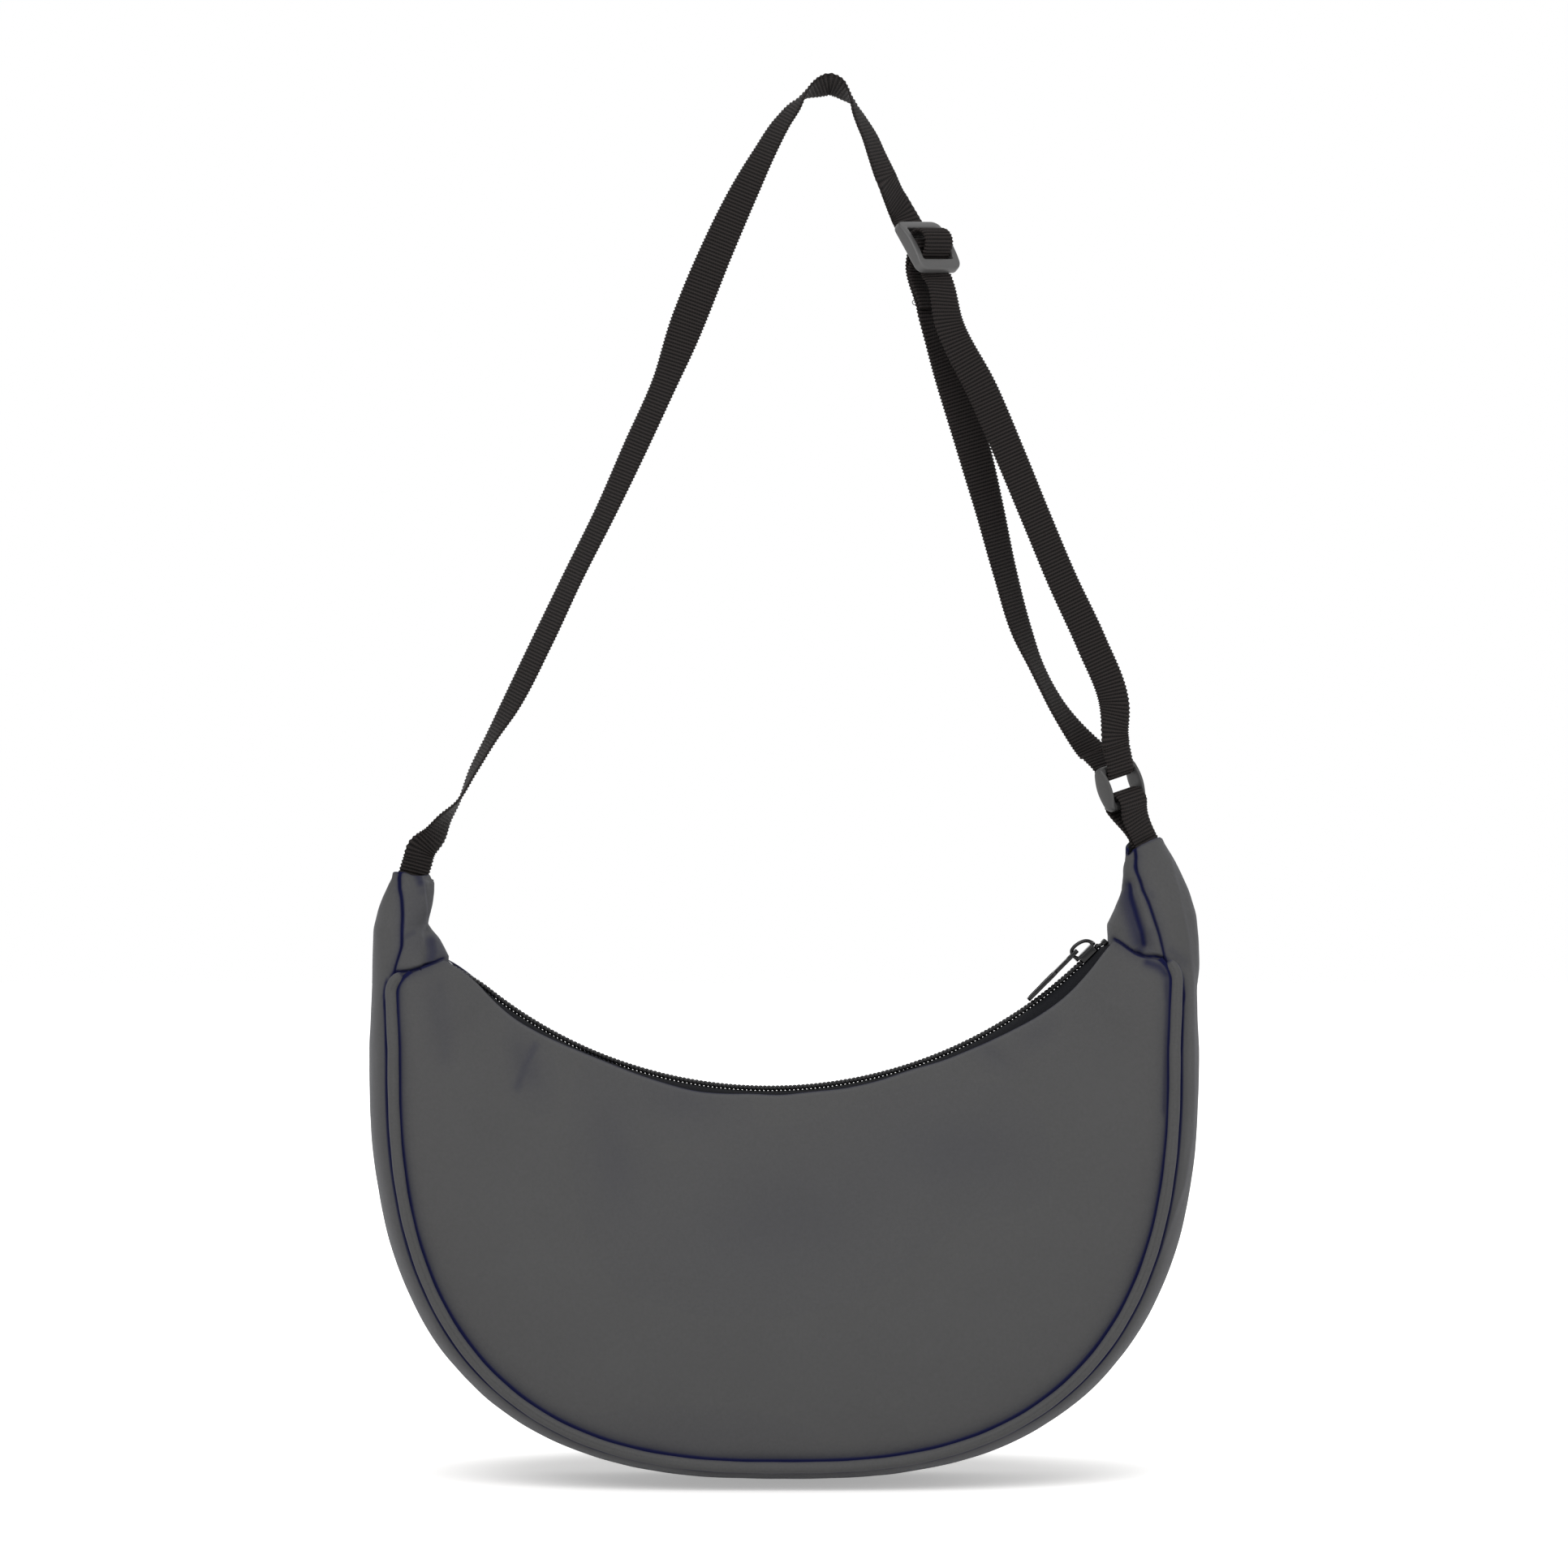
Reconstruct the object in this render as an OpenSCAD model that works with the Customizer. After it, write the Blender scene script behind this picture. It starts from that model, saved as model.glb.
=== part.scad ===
// Half moon shoulder bag hung from its strap: all lengths in millimetres, front towards -Y, +Z up.
// The origin is the underside of the strap's crown, where the strap lies over whatever holds it.

/* [Bag] */
// Width of the bag over the gusset at its widest line
bag_w = 340.4; // [300:1:380]
// Height of the widest line above the base
belly_h = 177; // [160:1:190]
// Height of the right horn's mouth above the base
bag_h = 262; // [245:1:280]
// Depth of the bag from seam to seam at the base
bag_depth = 70; // [60:1:80]
// Squareness of the lower outline, where 2 is an ellipse
belly_power = 2.63; // [2.3:0.05:3]
// Distance from the silhouette in to the piping at the sides
side_inset = 11.4; // [9:0.2:14]
// Distance from the silhouette in to the piping at the base
base_inset = 7.7; // [7:0.2:11]
// Thickness of the outer cloth with its foam
wall = 1.4; // [1:0.1:1.8]
// Thickness of the cloth at the horns, where it has no foam
horn_wall = 0.9; // [0.7:0.1:1]
// Thickness of the lining cloth
lining_t = 0.8; // [0.5:0.1:1]
// Radius of the piping
pipe_r = 2.4; // [1.8:0.1:2.6]
// Gap between sewn pieces
seam_gap = 0.3; // [0.2:0.05:0.4]
// Swell of the panels between mouth and base
dome = 4; // [1:0.5:6]

/* [Zip] */
// Drop of the mouth's lowest point below the line between its ends
mouth_sag = 57.3; // [45:0.5:65]
// Width of each row of coil
coil_w = 2.4; // [2:0.1:2.6]
// Thickness of the coil
coil_t = 2.2; // [1.8:0.1:2.5]
// Pitch of the coil turns
coil_pitch = 1.74; // [1.5:0.02:2.2]
// Half of the slit between the two rows
slit_half = 0.6; // [0.5:0.05:0.8]
// Thickness of the zip tape
tape_t = 0.8; // [0.6:0.1:1]
// Length of the slider's body
slider_l = 11; // [9:0.5:12]
// Height of the slider's arch over its top plate
arch_h = 5.1; // [5:0.1:6.5]
// Length of the pull tab from its pivot
pull_l = 28; // [22:1:30]
// Width of the pull tab
pull_w = 8.6; // [7:0.2:10]
// Distance along the zip from its right end to the closed slider's centre
slider_stand = 9.6; // [9.4:0.1:14]

/* [Strap] */
// Width of the webbing
web_w = 15; // [12:0.5:16]
// Thickness of the webbing
web_t = 1.5; // [1.2:0.1:1.8]
// Drop from the crown's underside to the left horn's mouth
strap_drop = 324; // [280:1:360]
// Distance from the crown across to the left horn's webbing
left_reach = 171.2; // [150:1:180]
// Distance from the right horn's mouth across to the ring's top bar
ring_aside = 11.9; // [8:0.1:14]
// Height of the ring's top bar over the right horn's mouth
ring_over = 29.2; // [27:0.1:40]
// Lean of the ring from upright
ring_lean = 18; // [12:1:22]
// Distance from the crown across to the tri-glide's centre bar
glide_reach = 40; // [36:0.5:44]
// Drop from the crown's underside to the tri-glide's centre bar
glide_drop = 69.3; // [62:0.5:76]
// Lean of the tri-glide's bars from level
glide_lean = 4; // [0:1:10]
// Tip of the tri-glide, with its top bar back
glide_nod = 34; // [20:1:36]
// Tip of the strap's sewn end under the tri-glide
loop_nod = 14; // [8:1:18]
// Turn of the tri-glide and the ring about the strand
hardware_turn = 39; // [30:1:45]

/* [Tri-glide] */
// Length of the tri-glide along the strand
glide_l = 25.5; // [24:0.5:28]
// Width of each side bar
glide_side = 3.2; // [2.5:0.1:4]
// Height of the end bars
glide_bar = 4.6; // [4:0.1:5.5]
// Thickness of the end bars
glide_t = 3.6; // [3:0.1:4.5]
// Height of the side bars above the plate's back, at the arch of the frame
glide_arch = 5.6; // [4.5:0.1:6.5]
// Radius of the centre bar
centre_r = 1.6; // [1.4:0.1:1.8]

/* [Ring] */
// Distance between the ring's two bars
ring_pitch = 15.2; // [13:0.2:18]
// Radius of the ring's bars
ring_bar_r = 1.8; // [1.5:0.1:2.2]
// Width of the ring's side bars
ring_side = 3.2; // [2.5:0.1:4]
// Depth of the ring's side bars at their bulge
ring_bulge = 6; // [4.5:0.1:7]

/* [Hidden] */

cloth_colour = [0.32, 0.32, 0.33];
web_colour = [0.16, 0.15, 0.155];
zip_colour = [0.12, 0.12, 0.13];
gloss_colour = [0.07, 0.07, 0.08];
plastic_colour = [0.33, 0.325, 0.325];
lining_colour = [0.2, 0.2, 0.22];

// Shared clearances and overruns
run_gap = 0.35;
over = 1;
half_w = bag_w / 2;
half_d = bag_depth / 2;

// Horn sections from the seam up to the mouth, each as shares:
// height of the section's middle (of bag_h), outer edge, gusset seam and inner edge (of half_w),
// half depth (of half_d), rise of the inner edge over the outer one (of bag_h), and the turn in degrees
left_horn_shares = [
    [0.800, 0.994, 0.949, 0.808, 0.540, 0.033, 0],
    [0.834, 0.992, 0.925, 0.831, 0.450, 0.019, 0],
    [0.863, 0.990, 0.918, 0.859, 0.370, 0.008, 0],
    [0.895, 0.977, 0.921, 0.849, 0.290, 0.004, 12],
    [0.926, 0.962, 0.930, 0.840, 0.205, 0.008, 29],
    [0.945, 0.957, 0.934, 0.840, 0.135, 0.011, 41],
    [0.955, 0.957, 0.934, 0.841, 0.105, 0.011, 45]
];
right_horn_shares = [
    [0.823, 1.002, 0.924, 0.780, 0.540, 0.047, 0],
    [0.855, 1.000, 0.908, 0.780, 0.470, 0.023, 0],
    [0.885, 0.994, 0.890, 0.798, 0.400, 0.008, 0],
    [0.920, 0.977, 0.857, 0.814, 0.310, 0.000, 12],
    [0.952, 0.957, 0.838, 0.811, 0.240, -0.008, 30],
    [0.979, 0.940, 0.818, 0.808, 0.180, -0.013, 43],
    [1.000, 0.928, 0.810, 0.806, 0.150, -0.019, 48]
];

function mix(a, b, s) = a + (b - a) * s;
function unit(v) = v / norm(v);

// Half angle of the gusset in a horn section, measured from the outer edge
function seam_half(row) =
    let (middle = (row[1] + row[3]) / 2, reach = (row[1] - row[3]) / 2)
    min(seam_half_limit, acos(max(-1, (row[2] - middle) / reach)));
seam_half_limit = 148;

// One section as [centre x, centre z, outward reach, rise of the outer edge, half depth, half angle, turn]
function horn_section(row, side) = [
    side * half_w * (row[1] + row[3]) / 2, bag_h * row[0], side * half_w * (row[1] - row[3]) / 2,
    -bag_h * row[5] / 2, half_d * row[4], seam_half(row), row[6]
];
function section_point(s, angle, inset = 0) =
    let (x = (s[2] - sign(s[2]) * inset) * cos(angle), y = (s[4] - inset) * sin(angle))
    [s[0] + x * cos(s[6]) - y * sin(s[6]), x * sin(s[6]) + y * cos(s[6]), s[1] + s[3] * cos(angle)];

// Stations round the lower outline: a few up each side and a rounded run along the base
side_steps = 3;
belly_steps = 34;
stations = belly_steps + 2 * side_steps;
pipe_splay = 1.6;
silhouette_splay = -1;
panel_inset = pipe_r + seam_gap;
panel_half = half_w - side_inset - panel_inset + pipe_splay;

// Height of a horn's lower seam at a distance from the bag's middle
function horn_seam(rows, x) =
    let (row = rows[0], middle = half_w * (row[1] + row[3]) / 2, width = half_w * (row[1] - row[3]))
    bag_h * (row[0] + row[5] * (middle - x) / width);
left_rise = horn_seam(left_horn_shares, panel_half) - belly_h - seam_gap;
right_rise = horn_seam(right_horn_shares, panel_half) - belly_h - seam_gap;

function belly_point(a, b, angle) = [
    a * sign(cos(angle)) * pow(abs(cos(angle)), 2 / belly_power),
    belly_h - b * pow(abs(sin(angle)), 2 / belly_power)
];
function outline(a, b, splay, low = 0) = [
    for (k = [side_steps:-1:1]) [-a - splay * k / side_steps, belly_h + (left_rise - low) * k / side_steps],
    for (k = [0:belly_steps]) belly_point(a, b, 180 + 180 * k / belly_steps),
    for (k = [1:side_steps]) [a + splay * k / side_steps, belly_h + (right_rise - low) * k / side_steps]
];
silhouette = outline(half_w, belly_h, silhouette_splay, pipe_r);
pipe_line = outline(half_w - side_inset, belly_h - base_inset, pipe_splay, pipe_r);
panel_line = outline(half_w - side_inset - panel_inset, belly_h - base_inset - panel_inset, pipe_splay);

// Half depth of the bag at a station: full along the base and drawn in towards the horns
horn_depth_share = 0.46;
fullness_power = 0.45;
fullness_end_share = 0.6;
function fullness(k) =
    pow(sin(180 * (k + fullness_end_share) / (stations + 2 * fullness_end_share)), fullness_power);
function depth_at(k) = half_d * mix(horn_depth_share, 1, fullness(k));

// The zip's arc goes through both ends of the mouth and sags by mouth_sag between them
zip_end_inset = 1.8;
zip_end_lift = 0.2;
function horn_foot(rows, side) = [
    side * half_w * rows[0][3] - side * zip_end_inset,
    bag_h * (rows[0][0] + rows[0][5] / 2) + zip_end_lift
];
zip_left = horn_foot(left_horn_shares, -1);
zip_right = horn_foot(right_horn_shares, 1);
zip_chord = norm(zip_right - zip_left);
zip_r = (zip_chord * zip_chord / 4 + mouth_sag * mouth_sag) / (2 * mouth_sag);
chord_dir = (zip_right - zip_left) / zip_chord;
zip_centre = (zip_left + zip_right) / 2 + (zip_r - mouth_sag) * [-chord_dir[1], chord_dir[0]];
left_angle = atan2(zip_left[0] - zip_centre[0], zip_centre[1] - zip_left[1]);
right_angle = atan2(zip_right[0] - zip_centre[0], zip_centre[1] - zip_right[1]);
zip_sweep = right_angle - left_angle;
slider_angle = right_angle - slider_stand / zip_r * 180 / PI;

// The tape as [depth under the coil's top, distance from the middle plane]
tape_drop = coil_t + seam_gap / 2;
tape_shoulder = 5.6;
tape_fall = 4.6;
tape_out = 8.6;
tape_tuck = 6;
tape_lean = 1.4;

// The panels' edge at the mouth hangs just outside the tape
mouth_drop = tape_drop + tape_fall;
mouth_half = tape_out + tape_t + seam_gap + wall;

// Where the bag hangs under the crown
mouth_tail_share = 0.05;
left_mouth = horn_section(left_horn_shares[len(left_horn_shares) - 1], -1);
right_mouth = horn_section(right_horn_shares[len(right_horn_shares) - 1], 1);
bag_x = -left_reach - left_mouth[0] + left_mouth[2] * mouth_tail_share;
bag_z = -strap_drop - left_mouth[1];

module in_bag() {
    translate([bag_x, 0, bag_z]) children();
}

// Closed shell between two grids of points, both [station][across]
module shell(outer, inner, flip = false) {
    rows = len(outer);
    cols = len(outer[0]);
    points = [for (grid = [outer, inner]) for (row = grid) each row];
    function a(i, j) = i * cols + j;
    function b(i, j) = rows * cols + i * cols + j;
    skins = [
        for (i = [0:rows - 2]) for (j = [0:cols - 2]) each [
            [a(i, j), a(i + 1, j), a(i + 1, j + 1)], [a(i, j), a(i + 1, j + 1), a(i, j + 1)],
            [b(i, j), b(i, j + 1), b(i + 1, j + 1)], [b(i, j), b(i + 1, j + 1), b(i + 1, j)]
        ]
    ];
    long_edges = [
        for (i = [0:rows - 2]) let (n = cols - 1) each [
            [a(i + 1, 0), a(i, 0), b(i, 0)], [a(i + 1, 0), b(i, 0), b(i + 1, 0)],
            [a(i, n), a(i + 1, n), b(i + 1, n)], [a(i, n), b(i + 1, n), b(i, n)]
        ]
    ];
    short_edges = [
        for (j = [0:cols - 2]) let (m = rows - 1) each [
            [a(0, j), a(0, j + 1), b(0, j + 1)], [a(0, j), b(0, j + 1), b(0, j)],
            [a(m, j + 1), a(m, j), b(m, j)], [a(m, j + 1), b(m, j), b(m, j + 1)]
        ]
    ];
    faces = concat(skins, long_edges, short_edges);
    polyhedron(points, flip ? [for (f = faces) [f[2], f[1], f[0]]] : faces, convexity = 6);
}

// Closed bar through a list of rings of points
module bar(rings, flip = false) {
    rows = len(rings);
    cols = len(rings[0]);
    points = [for (ring = rings) each ring];
    sides = [
        for (i = [0:rows - 2]) for (j = [0:cols - 1]) let (k = (j + 1) % cols) each [
            [i * cols + j, (i + 1) * cols + j, (i + 1) * cols + k],
            [i * cols + j, (i + 1) * cols + k, i * cols + k]
        ]
    ];
    ends = [
        for (j = [1:cols - 2]) each [
            [0, j, j + 1],
            [(rows - 1) * cols, (rows - 1) * cols + j + 1, (rows - 1) * cols + j]
        ]
    ];
    faces = concat(sides, ends);
    polyhedron(points, flip ? [for (f = faces) [f[2], f[1], f[0]]] : faces, convexity = 6);
}

// Direction of a route at one of its points
function heading(route, i) = unit(route[min(i + 1, len(route) - 1)] - route[max(i - 1, 0)]);

// Webbing through a route, with the direction of its width at each point
module webbing(route, across) {
    rings = [
        for (i = [0:len(route) - 1])
            let (along = heading(route, i),
                 wide = unit(across[i] - (across[i] * along) * along),
                 thin = cross(along, wide) * web_t / 2,
                 edge = wide * web_w / 2)
            [route[i] + edge + thin, route[i] - edge + thin, route[i] - edge - thin, route[i] + edge - thin]
    ];
    bar(rings);
}

// Width direction of a strand that lies near the XZ plane, turned about its own heading
function strand_across(route, twists) = [
    for (i = [0:len(route) - 1])
        let (along = heading(route, i), inward = unit([along[2], 0, -along[0]]))
        cos(twists[i]) * inward + sin(twists[i]) * cross(along, inward)
];

// Outline of a flat strip laid along a route in a plane
function strip(route, t) =
    let (sides = [
        for (i = [0:len(route) - 1])
            let (d = heading(route, i))
            [-d[1], d[0]] * t / 2
    ])
    concat(
        [for (i = [0:len(route) - 1]) route[i] + sides[i]],
        [for (i = [len(route) - 1:-1:0]) route[i] - sides[i]]
    );

// Front and back panels: mouth edge, swell and seam edge
panel_rows = 9;
swell_power = 1.9;
curl = 2.5;
curl_power = 6;
mouth_over = 1.8;
mouth_over_angle = mouth_over / zip_r * 180 / PI;
function mouth_point(k, edge_r) =
    let (angle = mix(left_angle - mouth_over_angle, right_angle + mouth_over_angle, k / stations))
    [zip_centre[0] + edge_r * sin(angle), zip_centre[1] - edge_r * cos(angle)];
function panel_depth(k, s, inset) =
    let (top = mouth_half - inset, low = depth_at(k) - inset)
    mix(top, low, 1 - pow(1 - s, swell_power))
    + fullness(k) * (dome * sin(180 * s) - curl * pow(s, curl_power));
function panel_grid(line, edge_r, inset) = [
    for (k = [0:stations]) [
        for (j = [0:panel_rows])
            let (s = j / panel_rows, top = mouth_point(k, edge_r), p = mix(top, line[k], s))
            [p[0], -panel_depth(k, s, inset), p[1]]
    ]
];
module panel(line, edge_r, inset, t) {
    shell(panel_grid(line, edge_r, inset), panel_grid(line, edge_r, inset + t));
}
mouth_edge_r = zip_r + mouth_drop;

module front_panel() {
    color(cloth_colour) in_bag() panel(panel_line, mouth_edge_r, 0, wall);
}

module back_panel() {
    color(cloth_colour) mirror([0, 1, 0]) in_bag() panel(panel_line, mouth_edge_r, 0, wall);
}

// The lining hangs inside the panels, clear of the sewn edges and of the zip's tapes
lining_inset = wall + seam_gap;
lining_line = outline(half_w - side_inset - 2 * panel_inset, belly_h - base_inset - 2 * panel_inset, 0);
lining_edge_r = mouth_edge_r + tape_tuck + 2 * seam_gap;

module front_lining() {
    color(lining_colour) in_bag() panel(lining_line, lining_edge_r, lining_inset, lining_t);
}

module back_lining() {
    color(lining_colour) mirror([0, 1, 0]) in_bag() panel(lining_line, lining_edge_r, lining_inset, lining_t);
}

// Gusset: from the left horn's mouth round the base to the right horn's mouth
across_steps = 6;
gusset_inset = pipe_r + seam_gap + wall / 2;
function gusset_belly(k, depth) = [
    pipe_line[k][0], pipe_line[k][1], silhouette[k][0] - pipe_line[k][0],
    silhouette[k][1] - pipe_line[k][1], depth, 90
];
// The reach along x and the rise along z shrink together when the section is set in
inset_depth_share = 0.25;
function belly_section_point(s, angle, inset) =
    let (reach = norm([s[2], s[3]]), part = (reach - inset) / reach, depth = s[4] - inset * inset_depth_share)
    [s[0] + s[2] * part * cos(angle), depth * sin(angle), s[1] + s[3] * part * cos(angle)];
function gusset_row(s, belly, inset) = [
    for (j = [0:across_steps])
        let (angle = mix(-s[5], s[5], j / across_steps))
        belly ? belly_section_point(s, angle, inset) : section_point(s, angle, inset)
];
function horn_rows(rows, side, inset) = [for (row = rows) gusset_row(horn_section(row, side), false, inset)];
function backwards(list) = [for (i = [len(list) - 1:-1:0]) list[i]];
function gusset_grid(inset, horn_inset) = concat(
    backwards(horn_rows(left_horn_shares, -1, horn_inset)),
    [for (k = [0:stations]) gusset_row(gusset_belly(k, depth_at(k) - gusset_inset), true, inset)],
    horn_rows(right_horn_shares, 1, horn_inset)
);

module gusset() {
    color(cloth_colour) in_bag() shell(gusset_grid(0, 0), gusset_grid(wall, horn_wall));
}

gusset_lining_gap = seam_gap + wall;
function gusset_lining_grid(inset) = [
    for (k = [1:stations - 1])
        gusset_row(gusset_belly(k, depth_at(k) - gusset_inset - gusset_lining_gap), true, inset)
];

module gusset_lining() {
    lining_out = gusset_lining_gap;
    color(lining_colour) in_bag()
        shell(gusset_lining_grid(lining_out), gusset_lining_grid(lining_out + lining_t));
}

// Piping: a round cord in its cover, sewn between panel and gusset
pipe_sides = 6;
module piping() {
    path = [for (k = [0:stations]) [pipe_line[k][0], -depth_at(k) + wall / 2, pipe_line[k][1]]];
    rings = [
        for (i = [0:stations])
            let (along = heading(path, i),
                 deep = unit([0, 1, 0] - along[1] * along),
                 side = cross(along, deep))
            [for (j = [0:pipe_sides - 1])
                path[i] + pipe_r * (cos(360 * j / pipe_sides) * deep + sin(360 * j / pipe_sides) * side)]
    ];
    bar(rings);
}

module front_piping() {
    color(cloth_colour) in_bag() piping();
}

module rear_piping() {
    color(cloth_colour) mirror([0, 1, 0]) in_bag() piping();
}

// Horn caps: the sleeves that close each end of the bag round the webbing
cap_steps = 8;
cap_gap_turn = 4;
function cap_row(s, inset) = [
    for (j = [0:cap_steps])
        section_point(s, mix(s[5] + cap_gap_turn, 360 - s[5] - cap_gap_turn, j / cap_steps), inset)
];
function cap_grid(rows, side, inset) = [for (row = rows) cap_row(horn_section(row, side), inset)];

module left_horn_cap() {
    color(cloth_colour) in_bag()
        shell(cap_grid(left_horn_shares, -1, 0), cap_grid(left_horn_shares, -1, horn_wall), flip = true);
}

module right_horn_cap() {
    color(cloth_colour) in_bag()
        shell(cap_grid(right_horn_shares, 1, 0), cap_grid(right_horn_shares, 1, horn_wall));
}

// Zip: everything on it is turned about the arc's centre
module on_zip(angle) {
    in_bag() translate([zip_centre[0], 0, zip_centre[1]]) rotate([0, -angle, 0]) translate([0, 0, -zip_r])
        children();
}

// A profile given as [radius, y] revolved about the arc's own axis over a stretch of the zip
module along_zip(profile, from_angle, to_angle) {
    in_bag() translate([zip_centre[0], 0, zip_centre[1]]) rotate([-90, 0, 0])
        rotate([0, 0, 90 - to_angle]) rotate_extrude(angle = to_angle - from_angle, $fn = 360)
            polygon(profile);
}

tape_route = [
    [tape_drop, slit_half + seam_gap], [tape_drop, tape_shoulder],
    [tape_drop + tape_fall, tape_out], [tape_drop + tape_fall + tape_tuck, tape_out + tape_lean]
];
module zip_tape() {
    outer = [for (p = tape_route) [zip_r + p[0], p[1]]];
    inner = [for (i = [len(tape_route) - 1:-1:0]) [
        zip_r + tape_route[i][0] + (i > 1 ? 0 : tape_t),
        tape_route[i][1] - (i > 1 ? tape_t : (i == 1 ? tape_t / 2 : 0))
    ]];
    along_zip(concat(outer, inner), left_angle, right_angle);
}

module zip_tape_front() {
    color(zip_colour) mirror([0, 1, 0]) zip_tape();
}

module zip_tape_rear() {
    color(zip_colour) zip_tape();
}

// Coil row: a band whose free edge carries one rounded bump for each turn of the coil
coil_end_turns = 2;
coil_base_stride = 4;
coil_count = floor(zip_r * zip_sweep * PI / 180 / coil_pitch) - 2 * coil_end_turns;
coil_step = zip_sweep / (coil_count + 2 * coil_end_turns);
coil_bump_share = 0.36;
function coil_angle(i) = left_angle + coil_step * (i + coil_end_turns);
function on_arc(angle, r) = [r * sin(angle), -r * cos(angle)];
module zip_coil() {
    bump = coil_t * coil_bump_share;
    bumps = [
        for (i = [0:coil_count - 1]) each [
            on_arc(coil_angle(i), zip_r + bump), on_arc(coil_angle(i) + coil_step / 4, zip_r),
            on_arc(coil_angle(i) + coil_step * 3 / 4, zip_r)
        ]
    ];
    base = [
        for (i = [coil_count:-coil_base_stride:0]) on_arc(coil_angle(i), zip_r + coil_t)
    ];
    in_bag() translate([zip_centre[0], slit_half, zip_centre[1]]) rotate([90, 0, 0])
        translate([0, 0, -coil_w]) linear_extrude(coil_w) polygon(concat(bumps, base));
}

module zip_coil_front() {
    color(zip_colour) mirror([0, 1, 0]) zip_coil();
}

module zip_coil_rear() {
    color(zip_colour) zip_coil();
}

// Stops: one clamp across both rows at the left end and one on each row at the right end
stop_l = 2.4;
stop_over = 0.4;
module zip_stop(angle, y0, y1) {
    on_zip(angle) translate([-stop_l / 2, y0, -coil_t]) cube([stop_l, y1 - y0, coil_t + stop_over]);
}

stop_turn = 0.9;
module zip_bottom_stop() {
    reach = slit_half + coil_w;
    color(gloss_colour) zip_stop(left_angle + stop_turn / 2, -reach, reach);
}

module zip_top_stops() {
    reach = slit_half + coil_w;
    color(gloss_colour) for (side = [0, 1]) mirror([0, side, 0])
        zip_stop(right_angle - stop_turn / 2, slit_half, reach);
}

// Slider: two plates joined by a post between the rows, flanges outside them and an arch on top
plate_t = 1.2;
flange_t = 1.2;
arch_rod = 1.5;
arch_wide = 2;
arch_corner = 3;
slider_half = slit_half + coil_w + run_gap + flange_t;
post_half = slit_half - run_gap;
plate_z = run_gap;
arch_half = slider_l / 2 - seam_gap / 2;
slider_corner_share = 0.35;
flange_l = slider_l - 2 * slider_half * slider_corner_share;
flange_h = tape_drop - run_gap + plate_z + seam_gap;

module rounded_plan(length, width, corner) {
    square([length, width - 2 * corner], center = true);
    square([length - 2 * corner, width], center = true);
    for (x = [-1, 1]) for (y = [-1, 1])
        translate([x * (length / 2 - corner), y * (width / 2 - corner)]) circle(corner, $fn = 32);
}

module slider_plate(z) {
    corner = slider_half * slider_corner_share;
    translate([0, 0, z]) linear_extrude(plate_t) rounded_plan(slider_l, 2 * slider_half, corner);
}

module zip_slider() {
    under = tape_drop + tape_t + run_gap;
    top = plate_z + plate_t;
    color(gloss_colour) on_zip(slider_angle) {
        slider_plate(plate_z);
        slider_plate(-under - plate_t);
        for (side = [-1, 1])
            translate([0, side * (slider_half - flange_t / 2), plate_z + seam_gap - flange_h / 2])
                cube([flange_l, flange_t, flange_h], center = true);
        translate([slider_l / 4, 0, (top - under) / 2 - plate_t / 2])
            cube([slider_l / 4, 2 * post_half, under + plate_z + plate_t], center = true);
        translate([0, arch_wide / 2, top]) rotate([90, 0, 0]) linear_extrude(arch_wide) difference() {
            intersection() {
                rounded_plan(2 * arch_half, 2 * arch_h, arch_corner);
                translate([-slider_l, -plate_t / 2]) square([2 * slider_l, 2 * arch_h]);
            }
            rounded_plan(2 * (arch_half - arch_rod), 2 * (arch_h - arch_rod), arch_corner - arch_rod / 2);
        }
    }
}

// Pull: its end bar lies in the arch's left bend and its arms straddle the rod
pull_t = 1.7;
pull_bar_r = 0.8;
pull_x = -arch_half + arch_rod + run_gap + pull_bar_r;
pull_z = plate_z + plate_t + arch_h - arch_rod - pull_bar_r - 2 * run_gap;
pull_arm = 1.3;
pull_slot_half = arch_wide / 2 + run_gap;
pull_neck = pull_slot_half + pull_arm;
pull_slot_l = 4.3;
pull_neck_l_share = 0.42;
pull_rim = 1.1;
pull_recess = 0.45;

module pull_tab_plan(shrink) {
    neck_l = pull_l * pull_neck_l_share;
    end_r = pull_w / 2 - shrink;
    translate([-pull_l + pull_w / 2, 0]) circle(end_r, $fn = 48);
    translate([-pull_l + pull_w / 2, -end_r]) square([pull_l - neck_l - pull_w / 2 - shrink, 2 * end_r]);
}

module zip_pull() {
    neck_l = pull_l * pull_neck_l_share;
    color(gloss_colour) on_zip(slider_angle) translate([pull_x, 0, pull_z]) {
        difference() {
            translate([0, 0, -pull_t / 2]) linear_extrude(pull_t) {
                pull_tab_plan(0);
                translate([-neck_l - over, -pull_neck]) square([neck_l + over, 2 * pull_neck]);
            }
            translate([-pull_slot_l, -pull_slot_half, -pull_t])
                cube([pull_slot_l + over, 2 * pull_slot_half, 2 * pull_t]);
            for (side = [0, 1]) mirror([0, 0, side]) translate([0, 0, pull_t / 2 - pull_recess])
                linear_extrude(pull_t) pull_tab_plan(pull_rim);
        }
        rotate([90, 0, 0]) cylinder(h = 2 * pull_neck, r = pull_bar_r, center = true, $fn = 32);
    }
}

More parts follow.
